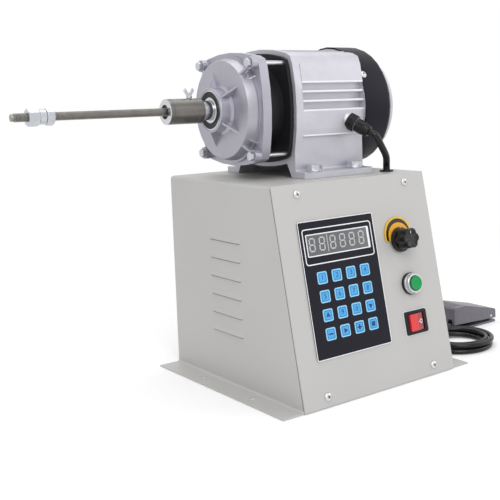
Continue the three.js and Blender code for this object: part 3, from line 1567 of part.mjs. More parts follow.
// Wing screw that locks the coupler to the shaft
function wingScrew() {
  const x = couplerRightStation - wingScrewFromEnd;
  const shankLow = outputShaftRadius + seatGap;
  const neckLow = couplerRadius + seatGap;
  const neckHigh = neckLow + wingScrewNeckHeight;
  const high = neckLow + wingScrewHeight;
  const wing = polygon([
    [-wingRootHalf, neckHigh - weld],
    [-wingSpan / 2, high - wingScrewHeight * 0.25],
    [-wingSpan / 2 + wingRootHalf, high],
    [-wingRootHalf / 2, neckHigh + wingScrewHeight * 0.3],
    [wingRootHalf / 2, neckHigh + wingScrewHeight * 0.3],
    [wingSpan / 2 - wingRootHalf, high],
    [wingSpan / 2, high - wingScrewHeight * 0.25],
    [wingRootHalf, neckHigh - weld],
  ]);
  const solid = join(
    rodZ(wingScrewShankRadius, shankLow, neckLow + weld, 0, 0, 14),
    rodZ(wingScrewNeckRadius, neckLow, neckHigh, 0, 0, 16),
    extrudeY(wing, -wingThickness / 2, wingThickness / 2),
  );
  return solidOf(geometryOf(solid).translate(x, 0, 0));
}

addPart(motor, "wing_screw", wingScrew(), "zinc");

// Spindle rod and the nuts that clamp a bobbin on it
const rodEnd = couplerLeftStation + couplerRodDepth - seatGap;
const rodTip = rodEnd - rodLength;
const rodProfile = [
  [rodTip, 0],
  [rodTip, rodRadius - rodTipChamfer],
  [rodTip + rodTipChamfer, rodRadius],
  [rodEnd, rodRadius],
  [rodEnd, 0],
];
addPart(motor, "spindle_rod", solidOf(turnedX(rodProfile, 20)), "darkSteel");

function clampNut(from, length) {
  const blank = extrudeX(hexagonShape(nutAcross), from, from + length);
  const corner = nutAcross / Math.sqrt(3);
  const round = turnedX([
    [from, 0],
    [from, corner - nutChamfer],
    [from + nutChamfer, corner],
    [from + length - nutChamfer, corner],
    [from + length, corner - nutChamfer],
    [from + length, 0],
  ], 18);
  const bored = solidOf(blank).intersect(solidOf(round));
  return cut(bored, rodX(rodRadius + seatGap, from - cutOverrun, from + length + cutOverrun, 0, 0, 12));
}

const outerNutStation = rodTip + nutFromTip;
const collarStation = outerNutStation + outerNutLength + seatGap;
const innerNutStation = collarStation + collarLength + seatGap;
addPart(motor, "nut_outer", clampNut(outerNutStation, outerNutLength), "zinc");
addPart(motor, "nut_inner", clampNut(innerNutStation, innerNutLength), "zinc");
const clampCollar = cut(
  solidOf(rodX(collarRadius, collarStation, collarStation + collarLength, 0, 0, 24)),
  rodX(rodRadius + seatGap, collarStation - cutOverrun, collarStation + collarLength + cutOverrun),
);
addPart(motor, "clamp_collar", clampCollar, "zinc");

// Grommet in the cabinet top for the motor lead
const grommet = cut(
  join(
    rodZ(grommetFlangeRadius, cabinetHeight + seatGap, cabinetHeight + seatGap + grommetFlangeHeight,
      grommetAcross, -grommetForward, 24),
    rodZ(grommetNeckRadius, cabinetHeight - sheet - grommetDepth, cabinetHeight + seatGap + weld,
      grommetAcross, -grommetForward, 24),
  ),
  rodZ(motorLeadRadius + seatGap, cabinetHeight - sheet - grommetDepth - cutOverrun,
    cabinetHeight + grommetFlangeHeight + cutOverrun, grommetAcross, -grommetForward, 20),
);
addPart(machine, "lead_grommet", grommet, "rubber");

// A tube along a smooth curve through hand-chosen points
function tubeAlong(points, radius, sides, steps) {
  const curve = new THREE.CatmullRomCurve3(points.map((p) => new THREE.Vector3(...p)), false, "centripetal");
  const section = [];
  for (let side = 0; side < sides; side += 1) {
    const angle = side * 2 * Math.PI / sides;
    section.push([radius * Math.cos(angle), radius * Math.sin(angle)]);
  }
  const settings = { steps, extrudePath: curve, bevelEnabled: false };
  return solidOf(new THREE.ExtrudeGeometry(polygon(section), settings));
}

// Motor lead: from the gland, down through the grommet to the driver
const glandNose = glandFoot.clone()
  .addScaledVector(motorGlandDirection, motorGlandBossProud + motorGlandLength + 2 * seatGap)
  .add(motor.position);
const fromGrommet = ([x, y, z]) => [grommetAcross + x, y - grommetForward, cabinetHeight + z];
const motorLeadRoute = [
  glandNose.toArray(),
  glandNose.clone().addScaledVector(motorGlandDirection, 2 * motorLeadRadius).toArray(),
  fromGrommet([-19, -12.5, 35]),
  fromGrommet([-7, -7.5, 21]),
  fromGrommet([-0.4, -0.7, 9]),
  fromGrommet([0, 0, -1]),
  fromGrommet([0, 0, -17]),
  fromGrommet([-2, 6.5, -48]),
  [74, -30, 150],
  [58, -6, 90],
  [55, 0, 62],
  [55, 0, sheet + driverHeight + 3 * seatGap],
];
addPart(machine, "motor_lead", tubeAlong(motorLeadRoute, motorLeadRadius, 8, 26), "rubber");

// Foot pedal: base plate with pin ears and cord boss
const pedalRight = pedalLeft + pedalLength;
const pedalBack = pedalFront + pedalWidth;
const pedalMiddle = (pedalFront + pedalBack) / 2;
const pedalPinX = pedalRight - pedalPinFromToe;
const pedalBossY = pedalFront + pedalBossFromFront;
const pedalBossEnd = pedalLeft - pedalBossLength;

function pedalBase() {
  const plate = roundedRectangle((pedalLeft + pedalRight) / 2, pedalMiddle, pedalLength, pedalWidth,
    pedalEdgeRadius);
  let solid = solidOf(extrudeZ(plate, 0, pedalPlate, 3));
  for (const side of [-1, 1]) {
    const outer = pedalMiddle + side * (pedalWidth / 2 - pedalWall - pedalEarInset);
    const edges = [outer, outer - side * pedalEarThickness].sort((a, b) => a - b);
    const ear = box(pedalPinX - pedalEarHalfWidth, pedalPinX + pedalEarHalfWidth, edges[0], edges[1],
      pedalPlate - weld, pedalPinHeight);
    const round = rodY(pedalEarHalfWidth, edges[0], edges[1], pedalPinX, pedalPinHeight, 20);
    solid = solid.add(solidOf(ear)).add(solidOf(round));
  }
  const boss = rodX(pedalBossRadius, pedalBossEnd, pedalLeft + pedalWall, pedalBossY,
    pedalBossRadius, 16);
  const bossFoot = box(pedalLeft + seatGap, pedalLeft + pedalWall, pedalBossY - pedalBossRadius,
    pedalBossY + pedalBossRadius, pedalPlate - weld, pedalBossRadius);
  solid = solid.add(solidOf(boss)).add(solidOf(bossFoot));
  return cut(solid, rodY(pedalPinRadius + seatGap, pedalFront, pedalBack, pedalPinX, pedalPinHeight, 16));
}

addPart(machine, "pedal_base", pedalBase(), "pedalPaint");

// Treadle: wedge-shaped casting, open below, hinged at its toe
function treadleOutline(inset) {
  const slopeStart = pedalLeft + pedalFlatLength;
  const rise = inset === 0 ? 0 : cutOverrun + inset;
  return polygon([
    [pedalLeft + inset, pedalSkirtHeel - rise],
    [pedalRight - inset, pedalSkirtToe - rise],
    [pedalRight - inset, pedalToeHeight - pedalEdgeRadius - inset],
    [pedalRight - inset - pedalEdgeRadius, pedalToeHeight - inset],
    [slopeStart, pedalHeelHeight - inset],
    [pedalLeft + inset + pedalEdgeRadius, pedalHeelHeight - inset],
    [pedalLeft + inset, pedalHeelHeight - pedalEdgeRadius - inset],
  ]);
}

function pedalTreadle() {
  const shell = extrudeY(treadleOutline(0), pedalFront, pedalBack);
  const room = extrudeY(treadleOutline(pedalWall), pedalFront + pedalWall, pedalBack - pedalWall);
  let solid = cut(solidOf(shell), room);
  for (const side of [-1, 1]) {
    const inner = pedalMiddle + side * (pedalWidth / 2 - weld);
    const reach = pedalMiddle + side * (pedalWidth / 2 - pedalWall - pedalEarInset + seatGap);
    const edges = [inner, reach].sort((a, b) => a - b);
    const hub = rodY(pedalEarHalfWidth - seatGap, edges[0], edges[1], pedalPinX, pedalPinHeight, 16);
    const web = box(pedalPinX - pedalEarHalfWidth + seatGap, pedalPinX + pedalEarHalfWidth - seatGap,
      edges[0], edges[1], pedalPinHeight, pedalToeHeight - pedalWall / 2);
    solid = solid.add(solidOf(hub)).add(solidOf(web));
  }
  const notchHalf = pedalBossRadius + 2 * runningGap;
  solid = cut(solid, box(pedalLeft - cutOverrun, pedalLeft + pedalWall + cutOverrun,
    pedalBossY - notchHalf, pedalBossY + notchHalf, 0, 2 * pedalBossRadius + pedalTravel));
  for (let groove = 0; groove < pedalGripCount; groove += 1) {
    const x = pedalLeft + pedalEdgeRadius + pedalGripPitch * (groove + 0.5) - pedalGripWidth / 2;
    if (x + pedalGripWidth > pedalLeft + pedalFlatLength) continue;
    solid = cut(solid, box(x, x + pedalGripWidth, pedalFront + 2 * pedalWall, pedalBack - 2 * pedalWall,
      pedalHeelHeight - pedalGripDepth, pedalHeelHeight + cutOverrun));
  }
  return cut(solid, rodY(pedalPinRadius + seatGap, pedalFront - cutOverrun, pedalBack + cutOverrun,
    pedalPinX, pedalPinHeight, 16));
}

addPart(machine, "pedal_treadle", pedalTreadle(), "pedalPaint");
addPart(machine, "pedal_pin", solidOf(rodY(pedalPinRadius, pedalFront + seatGap, pedalBack - seatGap,
  pedalPinX, pedalPinHeight, 16)), "zinc");

// Switch under the treadle, with its plunger
const pedalSwitchX = pedalLeft + pedalSwitchFromHeel;
const pedalSwitch = join(
  box(pedalSwitchX, pedalSwitchX + pedalSwitchLength, pedalMiddle - pedalSwitchWidth / 2,
    pedalMiddle + pedalSwitchWidth / 2, pedalPlate + seatGap, pedalSwitchHeight),
  rodZ(pedalPlungerRadius, pedalSwitchHeight - weld, pedalSwitchHeight + pedalPlungerProud,
    pedalSwitchX + pedalSwitchLength / 2, pedalMiddle, 12),
);
addPart(machine, "pedal_switch", pedalSwitch, "blackPlastic");

// Pedal cord coil: two layers, spiralling in on the floor and out again above
const coilTurns = 2 * coilLayerTurns;

function coilPoint(turn) {
  const middle = coilTurns / 2;
  const radius = coilRadius - coilPitch * (middle - Math.abs(turn - middle));
  const climb = THREE.MathUtils.clamp(2 * (turn - middle) + 0.5, 0, 1);
  const angle = Math.PI / 2 + 2 * Math.PI * turn;
  return new THREE.Vector3(
    coilCentreX + radius * Math.cos(angle),
    -coilCentreForward + radius * Math.sin(angle),
    cordRadius + coilLayerRise * climb,
  );
}

function coilPoints() {
  const steps = coilTurns * coilStepsPerTurn;
  const points = [];
  for (let step = 0; step <= steps; step += 1) points.push(coilPoint(step / coilStepsPerTurn));
  const straight = new THREE.Vector3(2 * cordRadius, 0, 0);
  points.unshift(points[0].clone().add(straight));
  points.push(points[points.length - 1].clone().sub(straight));
  return points;
}

// A tube of six-sided rings, one ring at each point
function ringedTube(points, radius, sides) {
  const positions = [];
  const index = [];
  points.forEach((point, k) => {
    const before = points[Math.max(k - 1, 0)];
    const after = points[Math.min(k + 1, points.length - 1)];
    const end = k === 0 || k === points.length - 1;
    const along = after.clone().sub(before);
    if (end) along.z = 0;
    along.normalize();
    const across = new THREE.Vector3(0, 0, 1).cross(along).normalize();
    const up = along.clone().cross(across);
    for (let side = 0; side < sides; side += 1) {
      const angle = (side + 0.5) * 2 * Math.PI / sides;
      const corner = point.clone()
        .addScaledVector(across, radius * Math.cos(angle))
        .addScaledVector(up, radius * Math.sin(angle));
      positions.push(...corner.toArray());
    }
  });
  const rings = points.length;
  for (let ring = 0; ring < rings - 1; ring += 1) {
    for (let side = 0; side < sides; side += 1) {
      const next = (side + 1) % sides;
      const a = ring * sides + side;
      const b = ring * sides + next;
      index.push(a, b, b + sides, a, b + sides, a + sides);
    }
  }
  for (let side = 1; side < sides - 1; side += 1) {
    index.push(0, side + 1, side);
    const last = (rings - 1) * sides;
    index.push(last, last + side, last + side + 1);
  }
  const geometry = new THREE.BufferGeometry();
  geometry.setAttribute("position", new THREE.Float32BufferAttribute(positions, 3));
  geometry.setIndex(index);
  return geometry;
}

// The least free gap between stretches of the coil that aren't neighbours along it
function leastCoilGap(points) {
  const skip = Math.ceil(coilStepsPerTurn / 3);
  let least = Infinity;
  for (let i = 0; i < points.length; i += 1) {
    for (let j = i + skip; j < points.length; j += 1) {
      least = Math.min(least, points[i].distanceTo(points[j]));
    }
  }
  return least - 2 * cordRadius;
}

const coilRoute = coilPoints();
const coilGap = leastCoilGap(coilRoute);
console.log(`least gap of the cord coil to itself: ${coilGap.toFixed(2)} mm, wanted over ${cordClearance}`);
addPart(machine, "pedal_cord_coil", solidOf(ringedTube(coilRoute, cordRadius, 6)), "rubber");

// Free stretches of the pedal cord, from the pedal to the coil and from the coil to the back panel
const coilIn = coilRoute[0];
const coilOut = coilRoute[coilRoute.length - 1];
const leadStart = pedalBossEnd - seatGap;
const leadRoute = [
  [leadStart, pedalBossY, pedalBossRadius],
  [leadStart - cordStraight, pedalBossY, pedalBossRadius],
  [coilIn.x + cordStraight + seatGap, coilIn.y, coilIn.z],
  [coilIn.x + seatGap, coilIn.y, coilIn.z],
];
addPart(machine, "pedal_cord_lead", tubeAlong(leadRoute, cordRadius, 8, 6), "rubber");

const glandFace = halfDepth + 2 * seatGap + glandNutHeight + glandNoseLength;
const tailRoute = [
  [coilOut.x - seatGap, coilOut.y, coilOut.z],
  [coilOut.x - cordStraight - seatGap, coilOut.y, coilOut.z],
  [191, -16.5, 10],
  [179, -7, 6.5],
  [173.6, 9, 4],
  [173, 30, 3.6],
  [173, 90, 3.6],
  [173, 150, 4.2],
  [170, 178, 7],
  [157, 199, 12],
  [135, 206, 18],
  [113, 199, 24],
  [100, 184, 29],
  [pedalGlandAcross, glandFace + cordStraight, pedalGlandHeight],
  [pedalGlandAcross, glandFace, pedalGlandHeight],
];
addPart(machine, "pedal_cord_tail", tubeAlong(tailRoute, cordRadius, 8, 26), "rubber");

export default machine;
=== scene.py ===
# Wire coil winding machine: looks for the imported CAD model. Metres, the CAD's own frame.
import json
import math

import bmesh
import bpy
from mathutils import Matrix, Vector


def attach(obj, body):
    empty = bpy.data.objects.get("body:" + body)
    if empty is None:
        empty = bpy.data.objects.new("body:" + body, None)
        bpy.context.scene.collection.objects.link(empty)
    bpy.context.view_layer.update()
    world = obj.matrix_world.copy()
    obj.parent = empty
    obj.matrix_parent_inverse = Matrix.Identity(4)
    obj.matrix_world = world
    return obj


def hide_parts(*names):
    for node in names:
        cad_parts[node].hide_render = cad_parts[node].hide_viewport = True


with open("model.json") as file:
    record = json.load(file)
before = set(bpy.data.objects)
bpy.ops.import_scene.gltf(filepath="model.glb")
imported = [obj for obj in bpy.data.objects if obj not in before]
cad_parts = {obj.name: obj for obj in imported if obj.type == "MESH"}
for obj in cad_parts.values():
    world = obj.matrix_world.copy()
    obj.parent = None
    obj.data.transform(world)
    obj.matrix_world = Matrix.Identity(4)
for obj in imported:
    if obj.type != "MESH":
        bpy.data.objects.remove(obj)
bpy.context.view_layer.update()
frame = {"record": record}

# Plain numbers in outlines and stations are millimetres, scaled by MM when a mesh is made
MM = 0.001
HALF_WIDTH = 125
SEAT_GAP = 0.3
CABINET_DEPTH = 293 * MM
CABINET_HEIGHT = 263 * MM
FRONT_SETBACK = 54.5 * MM
SLOPE = math.atan2(FRONT_SETBACK, CABINET_HEIGHT)
PANEL = Matrix.Translation((0, -CABINET_DEPTH / 2, 0)) @ Matrix.Rotation(math.pi / 2 - SLOPE, 4, "X")
AXIS = (37.5, 353)
AXIS_Y = AXIS[0] * MM
AXIS_Z = AXIS[1] * MM
MOTOR = Matrix.Translation((0, AXIS_Y, AXIS_Z))

# Camera

AZIMUTH = math.radians(39.909)
PITCH = math.radians(5.811)
ROLL = math.radians(-1.516)
FOCAL_PX = 895.22
CENTRE_PX = (347.01, 182.84)
PHOTO_PX = 500
CAMERA_PLACE = (-0.7281, -0.9535, 0.3721)


def make_camera():
    """The camera fitted to the photo; its centre is off the picture's middle by a lens shift."""
    forward = Vector((math.sin(AZIMUTH) * math.cos(PITCH), math.cos(AZIMUTH) * math.cos(PITCH),
                      -math.sin(PITCH)))
    right = Vector((math.cos(AZIMUTH), -math.sin(AZIMUTH), 0))
    up = right.cross(forward)
    c, s = math.cos(ROLL), math.sin(ROLL)
    right, up = c * right + s * up, c * up - s * right
    data = bpy.data.cameras.new("photo_camera")
    data.sensor_width = 36
    data.lens = FOCAL_PX / PHOTO_PX * data.sensor_width
    data.shift_x = (PHOTO_PX / 2 - CENTRE_PX[0]) / PHOTO_PX
    data.shift_y = (CENTRE_PX[1] - PHOTO_PX / 2) / PHOTO_PX
    data.clip_end = 50
    camera = bpy.data.objects.new("photo_camera", data)
    turn = Matrix((right, up, -forward)).transposed().to_4x4()
    camera.matrix_world = Matrix.Translation(CAMERA_PLACE) @ turn
    bpy.context.scene.collection.objects.link(camera)
    bpy.context.scene.camera = camera


make_camera()

# Materials


def material(name, color, rough=0.5, metal=0.0, grain=0.0, grain_scale=900.0, mottle=0.0,
             mottle_scale=30.0, rough_spread=0.06, coat=0.0, brushed=None, specular=0.5):
    """A surface of one colour in 0 to 255, with broad mottling and a fine grain as a bump."""
    mat = bpy.data.materials.new(name)
    mat.use_nodes = True
    nodes, links = mat.node_tree.nodes, mat.node_tree.links
    shader = nodes["Principled BSDF"]
    linear = [((c / 255 + 0.055) / 1.055) ** 2.4 if c > 10 else c / 255 / 12.92 for c in color]
    shader.inputs["Base Color"].default_value = (*linear, 1)
    shader.inputs["Metallic"].default_value = metal
    shader.inputs["Roughness"].default_value = rough
    shader.inputs["Coat Weight"].default_value = coat
    shader.inputs["Coat Roughness"].default_value = 0.08
    shader.inputs["Specular IOR Level"].default_value = specular
    where = nodes.new("ShaderNodeTexCoord")
    place = nodes.new("ShaderNodeMapping")
    links.new(where.outputs["Object"], place.inputs["Vector"])
    if brushed:
        place.inputs["Scale"].default_value = brushed
    broad = nodes.new("ShaderNodeTexNoise")
    broad.inputs["Scale"].default_value = mottle_scale
    broad.inputs["Detail"].default_value = 5
    links.new(where.outputs["Object"], broad.inputs["Vector"])
    if mottle:
        dark = [c * (1 - mottle) for c in linear]
        light = [min(1, c * (1 + mottle)) for c in linear]
        ramp = nodes.new("ShaderNodeValToRGB")
        ramp.color_ramp.elements[0].position = 0.32
        ramp.color_ramp.elements[1].position = 0.68
        ramp.color_ramp.elements[0].color = (*dark, 1)
        ramp.color_ramp.elements[1].color = (*light, 1)
        links.new(broad.outputs["Fac"], ramp.inputs["Fac"])
        links.new(ramp.outputs["Color"], shader.inputs["Base Color"])
    spread = nodes.new("ShaderNodeMapRange")
    spread.inputs["To Min"].default_value = max(0.02, rough - rough_spread)
    spread.inputs["To Max"].default_value = min(1, rough + rough_spread)
    links.new(broad.outputs["Fac"], spread.inputs["Value"])
    links.new(spread.outputs["Result"], shader.inputs["Roughness"])
    if grain:
        fine = nodes.new("ShaderNodeTexNoise")
        fine.inputs["Scale"].default_value = grain_scale
        fine.inputs["Detail"].default_value = 3
        links.new(place.outputs["Vector"], fine.inputs["Vector"])
        bump = nodes.new("ShaderNodeBump")
        bump.inputs["Strength"].default_value = grain
        bump.inputs["Distance"].default_value = 0.0004
        links.new(fine.outputs["Fac"], bump.inputs["Height"])
        links.new(bump.outputs["Normal"], shader.inputs["Normal"])
    return mat


M = {
    "paint": material("cabinet_paint", (190, 189, 187), 0.42, 0, 0.22, 1400, 0.02, 6, 0.05),
    # painted shade: dark grey for the shadow in the panel seams and in the screws' cross recesses
    "painted_shade": material("seam_and_recess_shade", (70, 70, 70), 0.6, 0, 0.1),
    # painted shade: mid grey for the shade in the louvres' slots
    "louvre_slot_shade": material("louvre_slot_shade", (138, 138, 136), 0.6, 0, 0.1),
    "cast": material("cast_aluminium", (197, 196, 204), 0.4, 0.45, 0.35, 1100, 0.04, 40, 0.08),
    # painted shade: a darker copy of the cast aluminium for the gear cover's shaded face
    "cover_cast_shaded": material("cover_aluminium_painted_shade", (172, 171, 181), 0.38, 0.72, 0.35, 1100, 0.05, 40, 0.08),
    # painted highlight: light strips along the fins' edges
    "fin_highlight": material("fin_highlight", (232, 232, 236), 0.34, 0.2, 0.12, 900, 0.03, 60),
    "machined": material("machined_aluminium", (205, 206, 212), 0.28, 0.9, 0.3, 300, 0.03, 60, 0.06,
                         brushed=(30, 1, 1)),
    "black_paint": material("black_paint", (32, 32, 35), 0.42, 0.0, 0.2, 900, 0.06, 25, 0.06,
                            specular=0.22),
    "fan_paint": material("fan_cover_paint", (29, 27, 37), 0.42, 0.0, 0.2, 900, 0.06, 25, 0.06,
                          specular=0.12),
    "black_plastic": material("black_plastic", (17, 17, 20), 0.38, 0, 0.15, 1500, 0.06, 80,
                              specular=0.3),
    "rubber": material("cord_rubber", (10, 10, 12), 0.27, 0, 0.12, 700, 0.08, 60, 0.05,
                       specular=0.38),
    "overlay": material("overlay_film", (29, 28, 38), 0.36, 0, 0.12, 2500, 0.04, 50, specular=0.15),
    "white_print": material("white_print", (238, 240, 243), 0.5, 0, 0.08, 1500, 0.02),
    "window": material("display_window", (92, 93, 97), 0.18, 0, 0.03, 900, 0.05, 40, coat=0.4),
    "segment": material("display_segment", (188, 188, 188), 0.35, 0, 0.03, 900, 0.04, 90),
    "key": material("key_blue", (74, 168, 228), 0.38, 0, 0.12, 2000, 0.05, 160),
    "key_rim": material("key_rim", (150, 212, 244), 0.38, 0, 0.12, 2000, 0.04, 160),
    "key_mark": material("key_mark", (18, 62, 118), 0.4, 0, 0.08, 2000, 0.04, 160),
    "yellow": material("dial_yellow", (236, 190, 30), 0.42, 0, 0.12, 1500, 0.05, 90),
    "amber": material("dial_amber", (236, 170, 26), 0.36, 0, 0.12, 1500, 0.06, 90),
    "knob": material("knob_black", (12, 12, 14), 0.17, 0, 0.1, 1600, 0.06, 90, 0.04, specular=0.4),
    "chrome": material("bright_chrome", (214, 214, 218), 0.17, 1, 0.1, 700, 0.02, 90, 0.05),
    "satin_chrome": material("satin_chrome", (206, 208, 210), 0.3, 0.9, 0.14, 900, 0.02, 90, 0.05),
    "green": material("button_green", (12, 150, 78), 0.3, 0, 0.06, 900, 0.05, 120, specular=0.3),
    # painted shade: a darker copy of the cap's green for its rounded rim
    "green_shaded_rim": material("button_cap_rim_painted_shade", (10, 92, 50), 0.34, 0, 0.06, 900, 0.05, 120),
    "red": material("rocker_red", (222, 40, 46), 0.2, 0, 0.05, 900, 0.05, 120, coat=0.5),
    # painted shade: a darker copy of the rocker's red for its shaded pressed half
    "red_shaded": material("rocker_red_painted_shade", (152, 20, 28), 0.22, 0, 0.05, 900, 0.05, 120, coat=0.5),
    "zinc": material("zinc", (196, 199, 204), 0.3, 0.9, 0.2, 700, 0.05, 120, 0.08),
    "steel": material("turned_steel", (118, 115, 112), 0.18, 1, 0.35, 420, 0.08, 60, 0.06,
                      brushed=(0.3, 6, 6)),
    "thread": material("thread_steel", (150, 147, 143), 0.33, 0.9, 0.2, 900, 0.12, 70, 0.1),
    "ring_steel": material("bearing_steel", (205, 206, 210), 0.22, 1, 0.1, 900, 0.02, 60),
    "pedal": material("pedal_enamel", (110, 108, 115), 0.38, 0.25, 0.85, 430, 0.07, 90, 0.1),
    "laminate": material("laminations", (120, 120, 124), 0.5, 0.7, 0.5, 300, 0.08, 60,
                         brushed=(12, 0.2, 0.2)),
    "guard": material("guard_wire", (206, 208, 212), 0.35, 0.6, 0.12, 900, 0.04, 90),
}

# Shapes


def link(name, mesh, mat, body, matrix=None, replaces=()):
    """A mesh with its material or materials, put in the scene on its body."""
    obj = bpy.data.objects.new(name, mesh)
    bpy.context.scene.collection.objects.link(obj)
    if matrix is not None:
        mesh.transform(matrix)
    # Clearing also resets the faces' material indices, so a mesh without materials keeps its own
    if len(mesh.materials):
        mesh.materials.clear()
    for one in mat if isinstance(mat, (list, tuple)) else [mat]:
        mesh.materials.append(one)
    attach(obj, body)
    if replaces:
        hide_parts(*([replaces] if isinstance(replaces, str) else replaces))
    return obj


def smooth(mesh, angle=32):
    """Smooth shading, with edges sharper than the angle kept."""
    for face in mesh.polygons:
        face.use_smooth = True
    mesh.set_sharp_from_angle(angle=math.radians(angle))


def bevel(obj, width, segments=2, angle=30):
    """Rounded edges where two faces meet at more than the angle."""
    mod = obj.modifiers.new("edge", "BEVEL")
    mod.width = width
    mod.segments = segments
    mod.limit_method = "ANGLE"
    mod.angle_limit = math.radians(angle)
    mod.harden_normals = True
    mod.use_clamp_overlap = True
    return obj


BODIES = frame["record"]["behaviour"]["bodies"]
NODE_BODY = {node: body for body, nodes in BODIES.items() for node in nodes}


def soften(node, mat, width=0.5 * MM, segments=2, angle=32):
    """Stand for a CAD node with the same shape, its edges rounded and its surface shaded smooth."""
    source = bpy.data.objects[node]
    mesh = source.data.copy()
    bm = bmesh.new()
    bm.from_mesh(mesh)
    bmesh.ops.remove_doubles(bm, verts=bm.verts, dist=2e-6)
    bmesh.ops.dissolve_limit(bm, angle_limit=math.radians(1.2), verts=bm.verts, edges=bm.edges)
    bm.to_mesh(mesh)
    bm.free()
    smooth(mesh, angle)
    obj = link("look_" + node, mesh, mat, NODE_BODY[node], replaces=node)
    if width:
        bevel(obj, width, segments, angle)
    return obj


def mesh_of(name, verts, faces):
    """A mesh with doubled points joined and its faces turned outward."""
    mesh = bpy.data.meshes.new(name)
    mesh.from_pydata([tuple(v) for v in verts], [], faces)
    mesh.validate()
    bm = bmesh.new()
    bm.from_mesh(mesh)
    bmesh.ops.remove_doubles(bm, verts=bm.verts, dist=1e-7)
    bmesh.ops.recalc_face_normals(bm, faces=bm.faces)
    bm.to_mesh(mesh)
    bm.free()
    return mesh


def lathe(name, profile, sides=64, axis="Z", angle=32):
    """A closed [station, radius] profile in millimetres, turned about the axis."""
    verts, faces = [], []
    count = len(profile)
    for k in range(sides):
        turn = 2 * math.pi * k / sides
        for station, radius in profile:
            a, b = radius * math.cos(turn), radius * math.sin(turn)
            point = (a, b, station) if axis == "Z" else (station, a, b)
            verts.append(Vector(point) * MM)
    for k in range(sides):
        for i in range(count):
            j = (i + 1) % count
            a, b = k * count, (k + 1) % sides * count
            faces.append((a + i, a + j, b + j, b + i))
    mesh = mesh_of(name, verts, faces)
    smooth(mesh, angle)
    return mesh


def rounded(x, y, width, height, radius, steps=6):
    """Outline of a rectangle about x, y with round corners."""
    points = []
    for cx, cy, start in ((1, -1, -90), (1, 1, 0), (-1, 1, 90), (-1, -1, 180)):
        for k in range(steps + 1):
            turn = math.radians(start + 90 * k / steps)
            points.append((x + cx * (width / 2 - radius) + radius * math.cos(turn),
                           y + cy * (height / 2 - radius) + radius * math.sin(turn)))
    return points


def circle(x, y, radius, steps=48, start=0, sweep=360):
    """Outline of a circle, or of the part of it that a sweep in degrees covers."""
    last = steps if sweep == 360 else steps + 1
    return [(x + radius * math.cos(math.radians(start + sweep * k / steps)),
             y + radius * math.sin(math.radians(start + sweep * k / steps))) for k in range(last)]


def prism(name, outline, low, high, hole=None):
    """An outline in millimetres raised from low to high, with an optional hole of as many points."""
    n = len(outline)
    verts = [Vector((x, y, z)) * MM for z in (low, high) for x, y in outline]
    faces = [(k, (k + 1) % n, n + (k + 1) % n, n + k) for k in range(n)]
    if hole is None:
        faces += [tuple(range(n - 1, -1, -1)), tuple(range(n, 2 * n))]
    else:
        verts += [Vector((x, y, z)) * MM for z in (low, high) for x, y in hole]
        for k in range(n):
            j = (k + 1) % n
            faces += [(2 * n + k, 3 * n + k, 3 * n + j, 2 * n + j), (n + k, n + j, 3 * n + j, 3 * n + k),
                      (k, 2 * n + k, 2 * n + j, j)]
    mesh = mesh_of(name, verts, faces)
    smooth(mesh)
    return mesh


def merged(name, meshes):
    """Several meshes in one, each with its own material index by order of its list."""
    bm = bmesh.new()
    for index, group in enumerate(meshes):
        for mesh in group if isinstance(group, list) else [group]:
            before = len(bm.faces)
            bm.from_mesh(mesh)
            bm.faces.ensure_lookup_table()
            for face in bm.faces[before:]:
                face.material_index = index
    whole = bpy.data.meshes.new(name)
    bm.to_mesh(whole)
    bm.free()
    smooth(whole)
    return whole


def tube(name, points, radius, mat, body, replaces=(), sides=5):
    """A round tube along one smooth curve through the points, given in metres."""
    curve = bpy.data.curves.new(name, "CURVE")
    curve.dimensions = "3D"
    curve.bevel_depth = radius
    curve.bevel_resolution = sides
    curve.use_fill_caps = True
    spline = curve.splines.new("POLY")
    spline.points.add(len(points) - 1)
    for spot, point in zip(spline.points, points):
        spot.co = (*point, 1)
    spline.use_smooth = True
    curve.materials.append(mat)
    obj = bpy.data.objects.new(name, curve)
    bpy.context.scene.collection.objects.link(obj)
    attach(obj, body)
    if replaces:
        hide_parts(*([replaces] if isinstance(replaces, str) else replaces))
    return obj


def catmull(points, per=8):
    """Centripetal Catmull-Rom points through the given ones."""
    p = [Vector(q) for q in points]
    p = [2 * p[0] - p[1]] + p + [2 * p[-1] - p[-2]]
    out = []
    for i in range(1, len(p) - 2):
        a, b, c, d = p[i - 1:i + 3]
        t0 = 0.0
        t1 = t0 + max((b - a).length, 1e-9) ** 0.5
        t2 = t1 + max((c - b).length, 1e-9) ** 0.5
        t3 = t2 + max((d - c).length, 1e-9) ** 0.5
        for k in range(per):
            t = t1 + (t2 - t1) * k / per
            ab = (t1 - t) / (t1 - t0) * a + (t - t0) / (t1 - t0) * b
            bc = (t2 - t) / (t2 - t1) * b + (t - t1) / (t2 - t1) * c
            cd = (t3 - t) / (t3 - t2) * c + (t - t2) / (t3 - t2) * d
            abc = (t2 - t) / (t2 - t0) * ab + (t - t0) / (t2 - t0) * bc
            bcd = (t3 - t) / (t3 - t1) * bc + (t - t1) / (t3 - t1) * cd
            out.append((t2 - t) / (t2 - t1) * abc + (t - t1) / (t2 - t1) * bcd)
    out.append(p[-2])
    return out


# Cords

CORD_RADIUS = 3.5
COIL_CENTRE = (212, -72.5)
COIL_RADIUS, COIL_PITCH, COIL_TURNS, COIL_RISE = 52, 8, 4, 7.6
COIL_STEPS = 48


